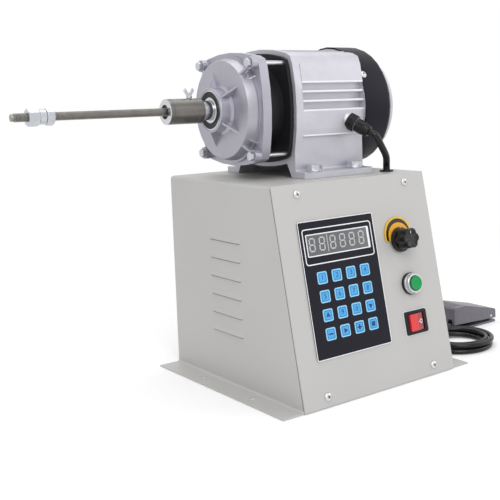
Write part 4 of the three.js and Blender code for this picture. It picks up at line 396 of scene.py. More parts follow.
def coil_points():
    """Loops that narrow towards the middle turn and widen again on top, with straight ends."""
    points = []
    middle = COIL_TURNS / 2
    for k in range(COIL_TURNS * COIL_STEPS + 1):
        turn = k / COIL_STEPS
        radius = COIL_RADIUS - COIL_PITCH * (middle - abs(turn - middle))
        climb = min(1, max(0, 2 * (turn - middle) + 0.5))
        angle = math.pi / 2 + 2 * math.pi * turn
        points.append(Vector((COIL_CENTRE[0] + radius * math.cos(angle),
                              COIL_CENTRE[1] + radius * math.sin(angle),
                              CORD_RADIUS + COIL_RISE * climb)))
    straight = Vector((2 * CORD_RADIUS, 0, 0))
    return [points[0] + straight] + points + [points[-1] - straight]


COIL = coil_points()
BOSS_END, BOSS_Y, BOSS_Z = 249, -12, 5.5
LEAD = catmull([
    (BOSS_END - 0.3, BOSS_Y, BOSS_Z), (BOSS_END - 6.3, BOSS_Y, BOSS_Z),
    (COIL[0].x + 6.3, COIL[0].y, COIL[0].z), (COIL[0].x + 0.3, COIL[0].y, COIL[0].z)], 6)
# The cord's end stands behind the cabinet's back by two gaps, the gland's nut and its nose
HALF_DEPTH, GLAND_NUT, GLAND_NOSE = 146.5, 5, 9
GLAND_FACE = HALF_DEPTH + 2 * SEAT_GAP + GLAND_NUT + GLAND_NOSE
TAIL = catmull([
    (COIL[-1].x - 0.3, COIL[-1].y, COIL[-1].z), (COIL[-1].x - 6.3, COIL[-1].y, COIL[-1].z),
    (191, -16.5, 10), (179, -7, 6.5), (173.6, 9, 4), (173, 30, 3.6), (173, 90, 3.6), (173, 150, 4.2),
    (170, 178, 7), (157, 199, 12), (135, 206, 18), (113, 199, 24), (100, 184, 29),
    (97, GLAND_FACE + 6, 30), (97, GLAND_FACE, 30)], 6)


def pedal_cord():
    """The whole pedal cord as one tube, from the pedal's boss to the gland on the back."""
    points = [p * MM for p in LEAD + COIL + TAIL]
    cord = tube("pedal_cord", points, CORD_RADIUS * MM, M["rubber"], "machine",
                replaces=("pedal_cord_lead", "pedal_cord_coil", "pedal_cord_tail"))


pedal_cord()

# The motor's own lead, held at both ends
GLAND_FOOT = Vector((47, AXIS[0] - 77.2, AXIS[1] - 21))
GLAND_WAY = Vector((0.42, -0.77, -0.48)).normalized()
NOSE = GLAND_FOOT + GLAND_WAY * 28
GROMMET = Vector((91, -58.5, 263))
MOTOR_LEAD = catmull(
    [NOSE, NOSE + GLAND_WAY * 9.6]
    + [GROMMET + Vector(q) for q in ((-19, -12.5, 35), (-7, -7.5, 21), (-0.4, -0.7, 9), (0, 0, -1),
                                     (0, 0, -17), (-2, 6.5, -48))]
    + [(74, -30, 150), (58, -6, 90), (55, 0, 62), (55, 0, 48.4)], 8)
tube("motor_lead_look", [p * MM for p in MOTOR_LEAD], 4.75 * MM, M["rubber"], "machine",
     replaces="motor_lead", sides=6)

# Cabinet

for node in ("cabinet_wrapper", "front_panel", "back_panel", "base_plate"):
    soften(node, M["paint"], 0.45 * MM, 3)
soften("driver_module", M["machined"], 0.3 * MM)
soften("counter_module", M["black_plastic"], 0.8 * MM)
soften("cord_gland", M["black_plastic"], 0.5 * MM)
soften("power_inlet", M["black_plastic"], 0.5 * MM)
soften("lead_grommet", M["rubber"], 0.6 * MM)


SEAM_WIDTH, SEAM_LENGTH, SEAM_LOWEST = 1.52, 264, 2
SEAM_FROM, SEAM_TO, SEAM_PROUD = -2.9, -1.9, 0.03


def seam_shadows():
    """Painted shadow: dark strips laid in the gap between the wrapper's edge and the front panel, on both
    sides.
    """
    across = HALF_WIDTH + SEAM_PROUD - SEAM_WIDTH / 2
    middle = SEAM_LOWEST + SEAM_LENGTH / 2
    strips = [prism("seam", rounded(side * across, middle, SEAM_WIDTH, SEAM_LENGTH, 0.3, 2),
                    SEAM_FROM, SEAM_TO) for side in (-1, 1)]
    link("seam_shadow_look", merged("seam_shadows", [strips]), M["painted_shade"], "machine", PANEL)


seam_shadows()


LOUVRE_COUNT, LOUVRE_PITCH, LOUVRE_LOWEST = 6, 24, 67
LOUVRE_FRONT, LOUVRE_BACK, LOUVRE_TAPER = -22, 50, 4
LOUVRE_HEIGHT, LOUVRE_PROUD, LOUVRE_END_PROUD, LOUVRE_SUNK = 6, 1.8, 0.2, 0.1
SLOT_HEIGHT, SLOT_DROP, SLOT_PROUD = 1.6, 0.9, 0.12


def louvre_hood(side, low):
    """One hood: proud over its slot, nearly flush at its ends, flush at its top edge."""
    verts, faces = [], []
    for y, proud in ((LOUVRE_FRONT, LOUVRE_END_PROUD), (LOUVRE_FRONT + LOUVRE_TAPER, LOUVRE_PROUD),
                     (LOUVRE_BACK - LOUVRE_TAPER, LOUVRE_PROUD), (LOUVRE_BACK, LOUVRE_END_PROUD)):
        for out, z in ((-LOUVRE_SUNK, low), (proud, low), (proud * 0.6, low + LOUVRE_HEIGHT / 2),
                       (-LOUVRE_SUNK, low + LOUVRE_HEIGHT)):
            verts.append(Vector((side * (HALF_WIDTH + out), y, z)) * MM)
    for k in range(3):
        for i in range(4):
            j = (i + 1) % 4
            faces.append((4 * k + i, 4 * k + j, 4 * k + 4 + j, 4 * k + 4 + i))
    faces += [(0, 1, 2, 3), (12, 13, 14, 15)]
    return mesh_of("hood", verts, faces)


def louvres():
    """Pressed louvres on both sides, each a hood over a grey strip laid on the side as painted shade for
    its slot.
    """
    hoods, slot_shades = [], []
    for side in (-1, 1):
        turn = Matrix(((0, 0, side, side * HALF_WIDTH * MM), (1, 0, 0, 0), (0, 1, 0, 0), (0, 0, 0, 1)))
        for row in range(LOUVRE_COUNT):
            low = LOUVRE_LOWEST + LOUVRE_PITCH * row
            hoods.append(louvre_hood(side, low))
            # each slot is a grey strip of painted shade under its hood
            outline = rounded((LOUVRE_FRONT + LOUVRE_BACK) / 2, low - SLOT_DROP,
                              LOUVRE_BACK - LOUVRE_FRONT - LOUVRE_TAPER, SLOT_HEIGHT, 0.6, 2)
            slot = prism("slot", outline, -LOUVRE_SUNK, SLOT_PROUD)
            slot.transform(turn)
            slot_shades.append(slot)
    link("louvre_look", merged("louvres", [hoods, slot_shades]), [M["paint"], M["louvre_slot_shade"]], "machine")


louvres()


def panel_screw(name, x, y, base, matrix, body, replaces=(), scale=1.0):
    """A round head on a plane at the given height; its cross recess is a dark cross laid on the head as
    painted shade.
    """
    s = scale
    profile = [(base, 0), (base, 5 * s), (base + 0.5 * s, 5 * s), (base + 1.1 * s, 4.7 * s),
               (base + 1.7 * s, 3.9 * s), (base + 2.15 * s, 2.7 * s), (base + 2.38 * s, 1.2 * s),
               (base + 2.4 * s, 0)]
    head = lathe(name + "_head", profile, 40)
    arms = []
    # the cross is painted shade for the recess, raised a little over the head
    for turn in (0, 90):
        cross = rounded(0, 0, 4.6 * s, 1.1 * s, 0.3 * s, 2)
        arm = prism(name + "_arm", cross, base + 2.2 * s, base + 2.5 * s)
        arm.transform(Matrix.Rotation(math.radians(turn + 20), 4, "Z"))
        arms.append(arm)
    whole = merged(name, [[head], arms])
    whole.transform(Matrix.Translation((x * MM, y * MM, 0)))
    return link(name, whole, [M["chrome"], M["painted_shade"]], body, matrix, replaces)


PANEL_LENGTH = math.hypot(FRONT_SETBACK, CABINET_HEIGHT) / MM
SCREW_ACROSS, SCREW_BELOW_TOP, SCREW_ABOVE_FLOOR = 89, 12.4, 12.9
SCREWS = [(side * SCREW_ACROSS, up) for up in (PANEL_LENGTH - SCREW_BELOW_TOP, SCREW_ABOVE_FLOOR)
          for side in (-1, 1)]
for number, (x, y) in enumerate(SCREWS):
    panel_screw(f"panel_screw_{number + 1}", x, y, SEAT_GAP, PANEL, "machine",
                replaces=f"front_screw_{number + 1}")

# Keypad and display

OVER_X, OVER_Y, OVER_W, OVER_H = -36.8, 139, 119.6, 167
PAD_X, PAD_Y, PITCH_KEY = -35.9, 118.4, 22.7
SHOW_Y = 191
KEY_SIZE = 15
# Row, column and middle of each of the sixteen keys
KEY_PLACES = [(row, column, PAD_X - 1.2 + (column - 1.5) * PITCH_KEY, PAD_Y + (1.5 - row) * PITCH_KEY)
              for row in range(4) for column in range(4)]


def ring(name, x, y, width, height, radius, wide, low, high):
    """A rounded rectangular frame, as wide as told, raised from low to high."""
    outer = rounded(x, y, width, height, radius)
    inner = rounded(x, y, width - 2 * wide, height - 2 * wide, max(radius - wide, 0.3))
    return prism(name, outer, low, high, inner)


def overlay():
    """Keypad sheet with its printed borders, display window and keys."""
    sheet = prism("sheet", rounded(OVER_X, OVER_Y, OVER_W, OVER_H, 2.5), 0.3, 1.25)
    border = ring("border", OVER_X, OVER_Y, OVER_W, OVER_H, 2.5, 1.0, 0.5, 1.32)
    surround = ring("surround", PAD_X - 1.2, SHOW_Y, 109.4, 44, 4, 1.3, 1.2, 1.5)
    window = prism("window", rounded(PAD_X - 1.7, SHOW_Y + 1.8, 97.4, 25.5, 1.2), 1.2, 1.45)
    edge = ring("edge", PAD_X - 1.5, SHOW_Y + 1.5, 99.9, 27.5, 1.6, 1.3, 1.2, 1.62)
    stripe = prism("stripe", rounded(PAD_X + 46.4, SHOW_Y + 1.5, 2.8, 26, 0.6, 2), 1.3, 1.6)
    keys, rims = [], []
    for row, column, x, y in KEY_PLACES:
        rims.append(ring("rim", x, y, KEY_SIZE, KEY_SIZE, 2.4, 1.4, 1.0, 1.62))
        keys.append(prism("key", rounded(x, y, KEY_SIZE - 2.6, KEY_SIZE - 2.6, 1.6), 1.0, 1.72))
    whole = merged("keypad", [[sheet], [border, surround, edge, stripe], [window], keys, rims])
    mats = [M["overlay"], M["white_print"], M["window"], M["key"], M["key_rim"]]
    return link("keypad_look", whole, mats, "machine", PANEL, "keypad_overlay")


overlay()


def segments():
    """Six figures of seven segments, and the bar that parts two of them from the rest."""
    parts = []
    wide, tall, bar = 7.6, 15.4, 1.7
    for x in (-78.7, -63.4, -46.6, -31.3, -16.1, -0.8):
        for dx, dy, across in ((0, tall / 2, 1), (0, 0, 1), (0, -tall / 2, 1), (-1, tall / 4, 0),
                               (1, tall / 4, 0), (-1, -tall / 4, 0), (1, -tall / 4, 0)):
            length = wide - 1.4 if across else tall / 2 - 1.4
            cx = x + dx * wide / 2 + 0.03 * dy
            size = (length, bar) if across else (bar, length)
            parts.append(prism("bar", rounded(cx, SHOW_Y + 2.2 + dy, *size, 0.5, 2), 1.4, 1.58))
    parts.append(prism("divider", rounded(-54.8, SHOW_Y + 2, 1.1, 21, 0.3, 2), 1.4, 1.58))
    return link("display_figures", merged("figures", [parts]), M["segment"], "machine", PANEL)


segments()


def figure(name, text, x, y, size):
    """One plain printed figure on a key."""
    curve = bpy.data.curves.new(name, "FONT")
    curve.body = text
    curve.size = size * MM
    curve.align_x = "CENTER"
    curve.align_y = "CENTER"
    curve.extrude = 0.06 * MM
    curve.materials.append(M["key_mark"])
    obj = bpy.data.objects.new(name, curve)
    bpy.context.scene.collection.objects.link(obj)
    obj.matrix_world = PANEL @ Matrix.Translation((x * MM, y * MM, 1.78 * MM))
    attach(obj, "machine")


def key_marks():
    """Ten figures and six plain signs on the keys, with a fine line round each."""
    marks = []
    signs = {(2, 0): "up", (2, 3): "down", (3, 0): "bar", (3, 1): "play", (3, 2): "cross", (3, 3): "stop"}
    digits = iter("1234567890")
    low, high = 1.7, 1.84
    for row, column, x, y in KEY_PLACES:
        marks.append(ring("inset", x, y, KEY_SIZE - 4.2, KEY_SIZE - 4.2, 1.2, 0.5, 1.7, 1.78))
        sign = signs.get((row, column))
        if sign is None:
            digit = next(digits)
            figure("key_figure_" + digit, digit, x, y, 8.6)
        if sign in ("up", "down", "play"):
            start = {"up": 90, "down": 270, "play": 0}[sign]
            marks.append(prism("sign", circle(x, y, 3.8, 3, start), low, high))
        if sign == "stop":
            marks.append(prism("sign", rounded(x, y, 5.8, 5.8, 0.6, 2), low, high))
        if sign in ("bar", "cross"):
            marks.append(prism("sign", rounded(x, y, 7, 1.9, 0.5, 2), low, high))
        if sign == "cross":
            marks.append(prism("sign", rounded(x, y, 1.9, 7, 0.5, 2), low, high))
    link("key_signs", merged("signs", [marks]), M["key_mark"], "machine", PANEL)


key_marks()

# Speed control

KNOB = (62.3, 182)
DIAL_THICKNESS, TIER_RISE, KNOB_CLEARANCE = 1.6, 1.6, 0.4
DIAL_FACE = SEAT_GAP + DIAL_THICKNESS
KNOB_BACK = DIAL_FACE + TIER_RISE + KNOB_CLEARANCE
# First angle and sweep of the dial's arch, in degrees
ARCH = (-17, 214)


def dial():
    """Yellow arch, a black arc inside it, and the amber tier above the knob."""
    x, y = KNOB
    arch = circle(x, y + 6.9, 23.5, 60, *ARCH)
    plate = prism("plate", arch, SEAT_GAP, DIAL_FACE - 0.15)
    rim = prism("rim", arch, 0.4, DIAL_FACE, circle(x, y + 6.6, 21.3, 60, *ARCH))
    black = prism("black", circle(x, y + 6.6, 21.4, 60, *ARCH), 0.4, DIAL_FACE - 0.05,
                  circle(x, y + 5, 17.5, 60, *ARCH))
    tier = prism("tier", circle(x, y + 5, 17.6, 72, *ARCH), DIAL_FACE - 0.8, DIAL_FACE + TIER_RISE,
                 circle(x, y, 8.2, 72, *ARCH))
    whole = merged("dial", [[plate, rim], [black], [tier]])
    obj = link("dial_look", whole, [M["yellow"], M["knob"], M["amber"]], "machine", PANEL,
               "dial_plate")
    bevel(obj, 0.25 * MM, 2, 40)


dial()
soften("speed_pot", M["zinc"], 0.2 * MM)


KNOB_RADIUS, KNOB_LOBES, LOBE_DEPTH, KNOB_HEIGHT, KNOB_STEPS = 14, 6, 1.9, 22.2, 144


def knob():
    """Round skirt and a grip of six lobes with a dished face."""
    base = KNOB_BACK
    move = Matrix.Translation((KNOB[0] * MM, KNOB[1] * MM, 0))
    skirt = lathe("skirt", [(base, 7.4), (base, 16.1), (base + 0.5, 16.5), (base + 1.3, 16.5),
                            (base + 2.6, 16.0), (base + 3.6, 15.6), (base + 4, 14.9),
                            (base + 4, 7.4)], 80)
    low, high = base + 3.8, base + KNOB_HEIGHT
    loops = []
    for height, shrink in ((low, 0.0), (low + 0.6, 0.0), (high - 1.6, 0.25), (high - 0.5, 0.7),
                           (high, 1.7), (high, 3.2), (high - 0.7, 3.9), (high - 0.7, 9.6)):
        loop = []
        for k in range(KNOB_STEPS):
            turn = 2 * math.pi * k / KNOB_STEPS
            lobe = 0.5 + 0.5 * math.cos(KNOB_LOBES * turn)
            radius = KNOB_RADIUS - LOBE_DEPTH * (1 - lobe) ** 1.7 - shrink
            if shrink > 3.5:
                radius = KNOB_RADIUS - 0.8 - shrink
            loop.append((radius * math.cos(turn), radius * math.sin(turn), height))
        loops.append(loop)
    verts = [Vector(p) * MM for loop in loops for p in loop]
    verts += [Vector((0, 0, low)) * MM, Vector((0, 0, high - 0.6)) * MM]
    n, faces = KNOB_STEPS, []
    for i in range(len(loops) - 1):
        for k in range(n):
            j = (k + 1) % n
            faces.append((i * n + k, i * n + j, i * n + n + j, i * n + n + k))
    last = (len(loops) - 1) * n
    for k in range(n):
        j = (k + 1) % n
        faces += [(j, k, len(verts) - 2), (last + k, last + j, len(verts) - 1)]
    grip = mesh_of("grip", verts, faces)
    whole = merged("knob", [[skirt, grip]])
    smooth(whole, 36)
    whole.transform(move)
    link("knob_look", whole, M["knob"], "knob", PANEL, "speed_knob")
    pointer = prism("pointer", rounded(0, 8.2, 0.9, 3.8, 0.2, 1), high - 0.75, high - 0.55)
    pointer.transform(move)
    line = prism("line", rounded(0, 15.3, 0.7, 1.6, 0.1, 1), base + 3.3, base + 3.95)
    line.transform(move)
    link("knob_marks", merged("marks", [[pointer, line]]), M["white_print"], "knob", PANEL)


knob()

# Push button and rocker

BUTTON = (70, 123.2)


def button():
    """Black gasket, turned bezel and the green cap that travels in it."""
    move = Matrix.Translation((BUTTON[0] * MM, BUTTON[1] * MM, 0))
    gasket = lathe("gasket", [(0.3, 11.6), (0.3, 14.4), (3.2, 14.4), (3.8, 13.9), (3.8, 11.6)], 56)
    link("gasket_look", gasket, M["rubber"], "machine", PANEL @ move, "start_gasket")
    back, front = 4.0, 11.3
    bezel = lathe("bezel", [(-30, 0), (-30, 11.2), (back, 11.2), (back, 13.6), (back + 2, 13.6),
                            (back + 2.6, 13.1), (front - 1.6, 12.85), (front - 0.5, 12.6), (front, 12.1),
                            (front, 10.4), (2.9, 10.4), (2.9, 10), (-0.7, 10), (-0.7, 0)], 72)
    link("bezel_look", bezel, M["satin_chrome"], "machine", PANEL @ move, "start_bezel")
    top = front + 2
    cap = lathe("cap", [(3.7, 0), (3.7, 9.6), (7.3, 9.6), (7.3, 10), (top - 0.9, 10), (top - 0.25, 9.7),
                        (top, 9.2), (top - 0.05, 8.6), (top - 0.5, 8.1), (top - 0.62, 6),
                        (top - 0.7, 0)], 72)
    whole = merged("cap", [[cap]])
    # faces out on the rim take the darker green as painted shade
    for face in whole.polygons:
        spot = face.center
        if math.hypot(spot.x, spot.y) > 8.9 * MM:
            face.material_index = 1
    link("cap_look", whole, [M["green"], M["green_shaded_rim"]], "start", PANEL @ move, "start_cap")


button()
soften("rocker_frame", M["black_plastic"], 0.7 * MM, 3)


ROCKER = (69.6, 73)
PRESSED_FROM = 67.2
ROCKER_HALF, ROCKER_RIDGE, ROCKER_PIVOT_RISE = 12.7, 3.4, 1.2
ROCKER_FACE_ANGLE = math.radians(9)
SIGN_PROUD = 0.03


def rocker():
    """Raised half in red and pressed half in a darker red as painted shade, inside a thin white line."""
    obj = soften("power_rocker", M["red"], 0.5 * MM, 3, 12)
    obj.data.materials.append(M["red_shaded"])
    back = PANEL.inverted()
    # faces of the pressed half take the darker red as painted shade
    for face in obj.data.polygons:
        if (back @ face.center).x > PRESSED_FROM * MM:
            face.material_index = 1
    line = ring("line", *ROCKER, 39.6, 32.5, 2.2, 0.9, 0.05, 0.5)
    link("rocker_line", line, M["white_print"], "machine", PANEL)


rocker()


def rocker_marks():
    """The off sign on the pressed half, a ring and a dash laid on its face."""
    sign = [prism("ring", circle(7.3, 0, 2.9, 40), 0, 0.12, circle(7.3, 0, 2.0, 40)),
            prism("dash", rounded(2.6, 0, 1.9, 0.9, 0.2, 2), 0, 0.12)]
    mesh = merged("off", [sign])
    drop = ROCKER_RIDGE - ROCKER_HALF * math.sin(ROCKER_FACE_ANGLE)
    lean = math.atan2(drop, ROCKER_HALF * math.cos(ROCKER_FACE_ANGLE))
    pivot = Matrix.Translation((ROCKER[0] * MM, ROCKER[1] * MM, ROCKER_PIVOT_RISE * MM))
    ridge = Matrix.Translation((0, 0, (ROCKER_RIDGE + SIGN_PROUD) * MM))
    place = (PANEL @ pivot @ Matrix.Rotation(ROCKER_FACE_ANGLE, 4, "Y") @ ridge
             @ Matrix.Rotation(lean, 4, "Y"))
    link("rocker_sign", mesh, M["white_print"], "rocker", place)


rocker_marks()

# Motor and gearbox

soften("motor_body", M["cast"], 0.7 * MM, 2, 28)
# the gear cover takes the darker aluminium, painted shade for its shaded face
soften("gear_cover", M["cover_cast_shaded"], 0.8 * MM, 3, 28)
soften("ring_gear", M["black_paint"], 0.5 * MM, 2, 28)
soften("fan_cover", M["fan_paint"], 0.4 * MM, 2, 40)
soften("motor_gland", M["black_plastic"], 0.5 * MM, 2, 28)
for node in ("stator", "rotor"):
    soften(node, M["laminate"], 0.3 * MM)
for node in ("rotor_bearing_front", "rotor_bearing_rear"):
    soften(node, M["ring_steel"], 0.4 * MM)
soften("fan", M["black_plastic"], 0.4 * MM)
for number in (1, 2, 3):
    soften(f"planet_{number}", M["steel"], 0)
soften("output_shaft", M["ring_steel"], 0.4 * MM)
for number in range(1, 5):
    soften(f"tie_bolt_{number}", M["zinc"], 0.4 * MM)
    soften(f"foot_bolt_{number}", M["zinc"], 0.5 * MM, 3)


FIN_LOWEST, FIN_PITCH, FIN_FROM, FIN_TO = -3.6, 12.2, -32.5, 69.8
WALL_INSIDE, GROOVE_FLOOR = 50, 69
# Places across and above the axis on the smooth wall over the fins
WALL_FACE = ((75.2, 33), (73.4, 43.5), (71.3, 56), (70.7, 57.4))
# Height above the axis and distance from the middle of each painted highlight strip along an edge
FIN_HIGHLIGHTS = ((33, 75.02), (20.8, 76.3), (8.6, 77.0), (-3.6, 77.29), (-35.7, 74.55))


def bar(name, outline, start, end):
    """An outline of [y, z] points in millimetres drawn out along X."""
    n = len(outline)
    verts = [Vector((x, y, z)) * MM for x in (start, end) for y, z in outline]
    faces = [(k, (k + 1) % n, n + (k + 1) % n, n + k) for k in range(n)]
    faces += [tuple(range(n)), tuple(range(n, 2 * n))]
    return mesh_of(name, verts, faces)


def side_walls():
    """Casting between the side fins: a shallow floor low down and a smooth wall above."""
    top = FIN_LOWEST + 3 * FIN_PITCH
    floor = ((WALL_INSIDE, FIN_LOWEST), (GROOVE_FLOOR, FIN_LOWEST), (GROOVE_FLOOR, top), (WALL_INSIDE, top))
    wall = ((WALL_INSIDE, top), *WALL_FACE, (WALL_INSIDE, WALL_FACE[-1][1]))
    parts = [bar("wall", [(side * y, z) for y, z in outline], FIN_FROM, FIN_TO)
             for side in (-1, 1) for outline in (floor, wall)]
    link("side_walls", merged("walls", [parts]), M["cast"], "machine", MOTOR)


side_walls()


def fin_highlights():
    """Painted highlight: light strips along the edges of the four fins and of the body's lower step, on
    both sides.
    """
    section = ((-1, -1.1), (0.05, -1.1), (0.2, -0.7), (0.2, 0.7), (0.05, 1.1), (-1, 1.1))
    strips = [bar("edge", [(side * (out + across), z + up) for across, up in section], FIN_FROM, FIN_TO)
              for z, out in FIN_HIGHLIGHTS for side in (-1, 1)]
    link("fin_highlights", merged("edges", [strips]), M["fin_highlight"], "machine", MOTOR)


fin_highlights()


def gland_sleeve():
    """Black ribbed nut over the gland's boss."""
    profile = [(-4.5, 10.55), (-4.5, 11.3), (1.2, 11.6), (1.5, 11.1), (2.3, 11.1), (2.6, 11.6),
               (6.4, 11.6), (7.2, 11.2), (8, 10.6), (8, 10.55)]
    turn = Vector((0, 0, 1)).rotation_difference(GLAND_WAY).to_matrix().to_4x4()
    nut = lathe("nut", profile, 12, "Z", 20)
    link("gland_sleeve", nut, M["black_plastic"], "machine",
         Matrix.Translation(GLAND_FOOT * MM) @ turn)


gland_sleeve()


def bearing():
    """Two steel rings with a black seal between them."""
    start, end = -125.0, -110.0
    metal = [lathe("outer", [(start, 23.9), (start + 0.3, 25.5), (end, 25.5), (end, 23.9)], 80, "X"),
             lathe("inner", [(start, 12.9), (start, 15.7), (start + 0.4, 16.3), (end, 16.3), (end, 12.9)],
                   80, "X")]
    seal = lathe("seal", [(start + 0.5, 16.4), (start + 0.25, 17.4), (start + 0.9, 18.3),
                          (start + 0.5, 19.2), (start + 0.5, 22.4), (start + 0.2, 23.2),
                          (start + 0.6, 23.8), (end, 23.8), (end, 16.4)], 80, "X")
    link("bearing_look", merged("bearing", [metal, [seal]]), [M["ring_steel"], M["black_plastic"]],
         "machine", MOTOR, "output_bearing")


bearing()


def coupler():
    """Turned sleeve with two fine grooves; its ends and their chamfers take the bright bearing steel as a
    painted highlight.
    """
    left, right = -188.6, -139.3
    profile = [(left, 9), (left, 14.6), (left + 0.9, 15.9), (left + 4.6, 15.95), (left + 4.9, 15.5),
               (left + 5.9, 15.5), (left + 6.2, 15.95), (right - 9.4, 15.95), (right - 9.1, 15.6),
               (right - 8.5, 15.6), (right - 8.2, 15.95), (right - 0.9, 15.95), (right, 15.1),
               (right, 12.8), (right - 21, 12.8), (right - 21, 0), (left + 25, 0), (left + 25, 5.3),
               (left + 3, 5.3), (left + 3, 9)]
    mesh = merged("coupler", [[lathe("turned", profile, 96, "X")]])
    # the ends and chamfers are painted highlight in the brighter steel
    for face in mesh.polygons:
        if face.center.x < (left + 0.95) * MM or face.center.x > (right - 0.95) * MM:
            face.material_index = 1
    link("coupler_look", mesh, [M["steel"], M["ring_steel"]], "spindle", MOTOR, "coupler")


coupler()
soften("wing_screw", M["zinc"], 0.6 * MM, 3)


ROD_START, ROD_END, ROD_PITCH, ROD_CREST, ROD_ROOT = -377.9, -163.9, 1.5, 4.98, 4.2


def threaded_rod():
    """The spindle's thread as one helix of crest and root, over a core with chamfered ends."""
    start, end = ROD_START, ROD_END
    around, per = 20, 4
    turns = int((end - start - 3) / ROD_PITCH)
    total = turns * per
    verts, faces = [], []
    for i in range(total + 1):
        plain = i < per or i > total - per
        radius = ROD_ROOT if plain or i % per > 1 else ROD_CREST
        for k in range(around):
            turn = 2 * math.pi * k / around
            along = start + 1.5 + (i / per + k / around) * ROD_PITCH * (turns - 1) / turns
            verts.append(Vector((along, radius * math.cos(turn), radius * math.sin(turn))) * MM)
    for i in range(total):
        for k in range(around):
            closing = k + 1 == around
            if closing and i + per >= total:
                continue
            step = per * around if closing else k + 1
            low, high = i * around, (i + 1) * around
            faces.append((low + k, low + step, high + step, high + k))
    helix = bpy.data.meshes.new("helix")
    helix.from_pydata([tuple(v) for v in verts], [], faces)
    bm = bmesh.new()
    bm.from_mesh(helix)
    bmesh.ops.recalc_face_normals(bm, faces=bm.faces)
    bm.to_mesh(helix)
    bm.free()
    core = lathe("core", [(start, 0), (start, 4.0), (start + 0.8, 4.35), (start + 1.4, 4.35),
                          (start + 1.6, 4.25), (end - 1.6, 4.25), (end - 1.4, 4.6), (end, 4.6), (end, 0)],
                 28, "X")
    whole = merged("rod", [[core, helix]])
    smooth(whole, 50)
    link("rod_look", whole, M["thread"], "spindle", MOTOR, "spindle_rod")


threaded_rod()
for node in ("nut_outer", "nut_inner"):
    soften(node, M["zinc"], 0.5 * MM, 3, 25)
soften("clamp_collar", M["zinc"], 0.5 * MM, 3)


GUARD_BASE, GUARD_DEPTH, GUARD_CAP, GUARD_REACH = 117.6, 28, 16, 57
GUARD_WIRE, GUARD_STEPS, GUARD_SPOKES = 1.25, 8, 4


def guard():
    """Domed fan guard: a flange, rings of wire, a cap and flat spokes."""
    base, depth, cap, reach = GUARD_BASE, GUARD_DEPTH, GUARD_CAP, GUARD_REACH
    parts = [lathe("flange", [(base, 68), (base, 74.5), (base + 1.8, 74.5), (base + 1.8, 68)], 96, "X")]
    curve = [(base + 0.9 + depth * math.sin(k / GUARD_STEPS * math.pi / 2),
              cap + reach * math.cos(k / GUARD_STEPS * math.pi / 2)) for k in range(GUARD_STEPS + 1)]
    for station, radius in curve[1:-1]:
        wire = [(station + GUARD_WIRE * math.cos(k * math.pi / 4),
                 radius + GUARD_WIRE * math.sin(k * math.pi / 4)) for k in range(8)]
        parts.append(lathe("wire", wire, 96, "X"))
    crown = curve[-1][0]
    parts.append(lathe("cap", [(crown - 1.2, 0), (crown - 1.2, cap), (crown + 0.4, cap + 0.4),
                               (crown + 1.2, cap - 2), (crown + 1.3, 0)], 64, "X"))
    for spoke in range(GUARD_SPOKES):
        path = []
        for k in range(13):
            share = k / 12 * math.pi / 2
            path.append((base + 0.4 + depth * math.sin(share), cap + (reach - 1) * math.cos(share)))
        verts, faces = [], []
        for station, radius in path:
            for side in (-1.8, 1.8):
                for lift in (0, 1.2):
                    verts.append(Vector((station - lift, side, radius)) * MM)
        for k in range(len(path) - 1):
            a, b = 4 * k, 4 * k + 4
            faces += [(a, a + 1, b + 1, b), (a + 2, b + 2, b + 3, a + 3), (a, b, b + 2, a + 2),
                      (a + 1, a + 3, b + 3, b + 1)]
        faces += [(0, 2, 3, 1), (len(verts) - 4, len(verts) - 3, len(verts) - 1, len(verts) - 2)]
        arm = mesh_of("spoke", verts, faces)
        arm.transform(Matrix.Rotation(spoke * math.pi / 2, 4, "X"))
        parts.append(arm)
    link("guard_look", merged("guard", [parts]), M["guard"], "machine", MOTOR, "fan_guard")


guard()

FAN_SCREW_ANGLES = (31, 121, 211, 301)
FAN_SCREW_STATION, FAN_SCREW_OUT = 76, 81.3
for number, degrees in enumerate(FAN_SCREW_ANGLES):
    turn = math.radians(degrees)
    out = Vector((0, -math.cos(turn), math.sin(turn)))
    across = Vector((1, 0, 0))
    basis = Matrix((across, out.cross(across), out)).transposed().to_4x4()
    middle = Vector((FAN_SCREW_STATION * MM, AXIS_Y, AXIS_Z))
    place = Matrix.Translation(middle + out * FAN_SCREW_OUT * MM) @ basis
    panel_screw(f"fan_screw_{number + 1}", 0, 0, 0.5, place, "machine", scale=0.75)
    washer = lathe("washer", [(0, 0), (0, 5.2), (0.5, 5.2), (0.9, 4.8), (0.9, 0)], 40)
    link(f"fan_washer_{number + 1}", washer, M["chrome"], "machine", place)

# Foot pedal

soften("pedal_base", M["pedal"], 0.7 * MM, 3)
soften("pedal_treadle", M["pedal"], 1.2 * MM, 3)
soften("pedal_pin", M["zinc"], 0.4 * MM)
soften("pedal_switch", M["black_plastic"], 0.5 * MM)

# Floor, light, world


def seen_rays(nodes, links):
    """One for rays from the camera, from gloss and through glass."""
    path = nodes.new("ShaderNodeLightPath")
    total = path.outputs["Is Camera Ray"]
    for kind in ("Is Glossy Ray", "Is Transmission Ray"):
        add = nodes.new("ShaderNodeMath")
        add.operation = "ADD"
        add.use_clamp = True
        links.new(total, add.inputs[0])
        links.new(path.outputs[kind], add.inputs[1])
        total = add.outputs["Value"]
    return total


def glow(nodes, strength):
    """A plain white emission."""
    node = nodes.new("ShaderNodeEmission")
    node.inputs["Strength"].default_value = strength
    return node.outputs["Emission"]


def mixed(nodes, links, factor, first, second):
    """The first shader, and the second in its place by the factor."""
    node = nodes.new("ShaderNodeMixShader")
    links.new(factor, node.inputs["Fac"])
    links.new(first, node.inputs[1])
    links.new(second, node.inputs[2])
    return node.outputs["Shader"]


FLOOR_LIFT, FADE_FROM, FADE_TO = 0.12, 0.55, 1.3


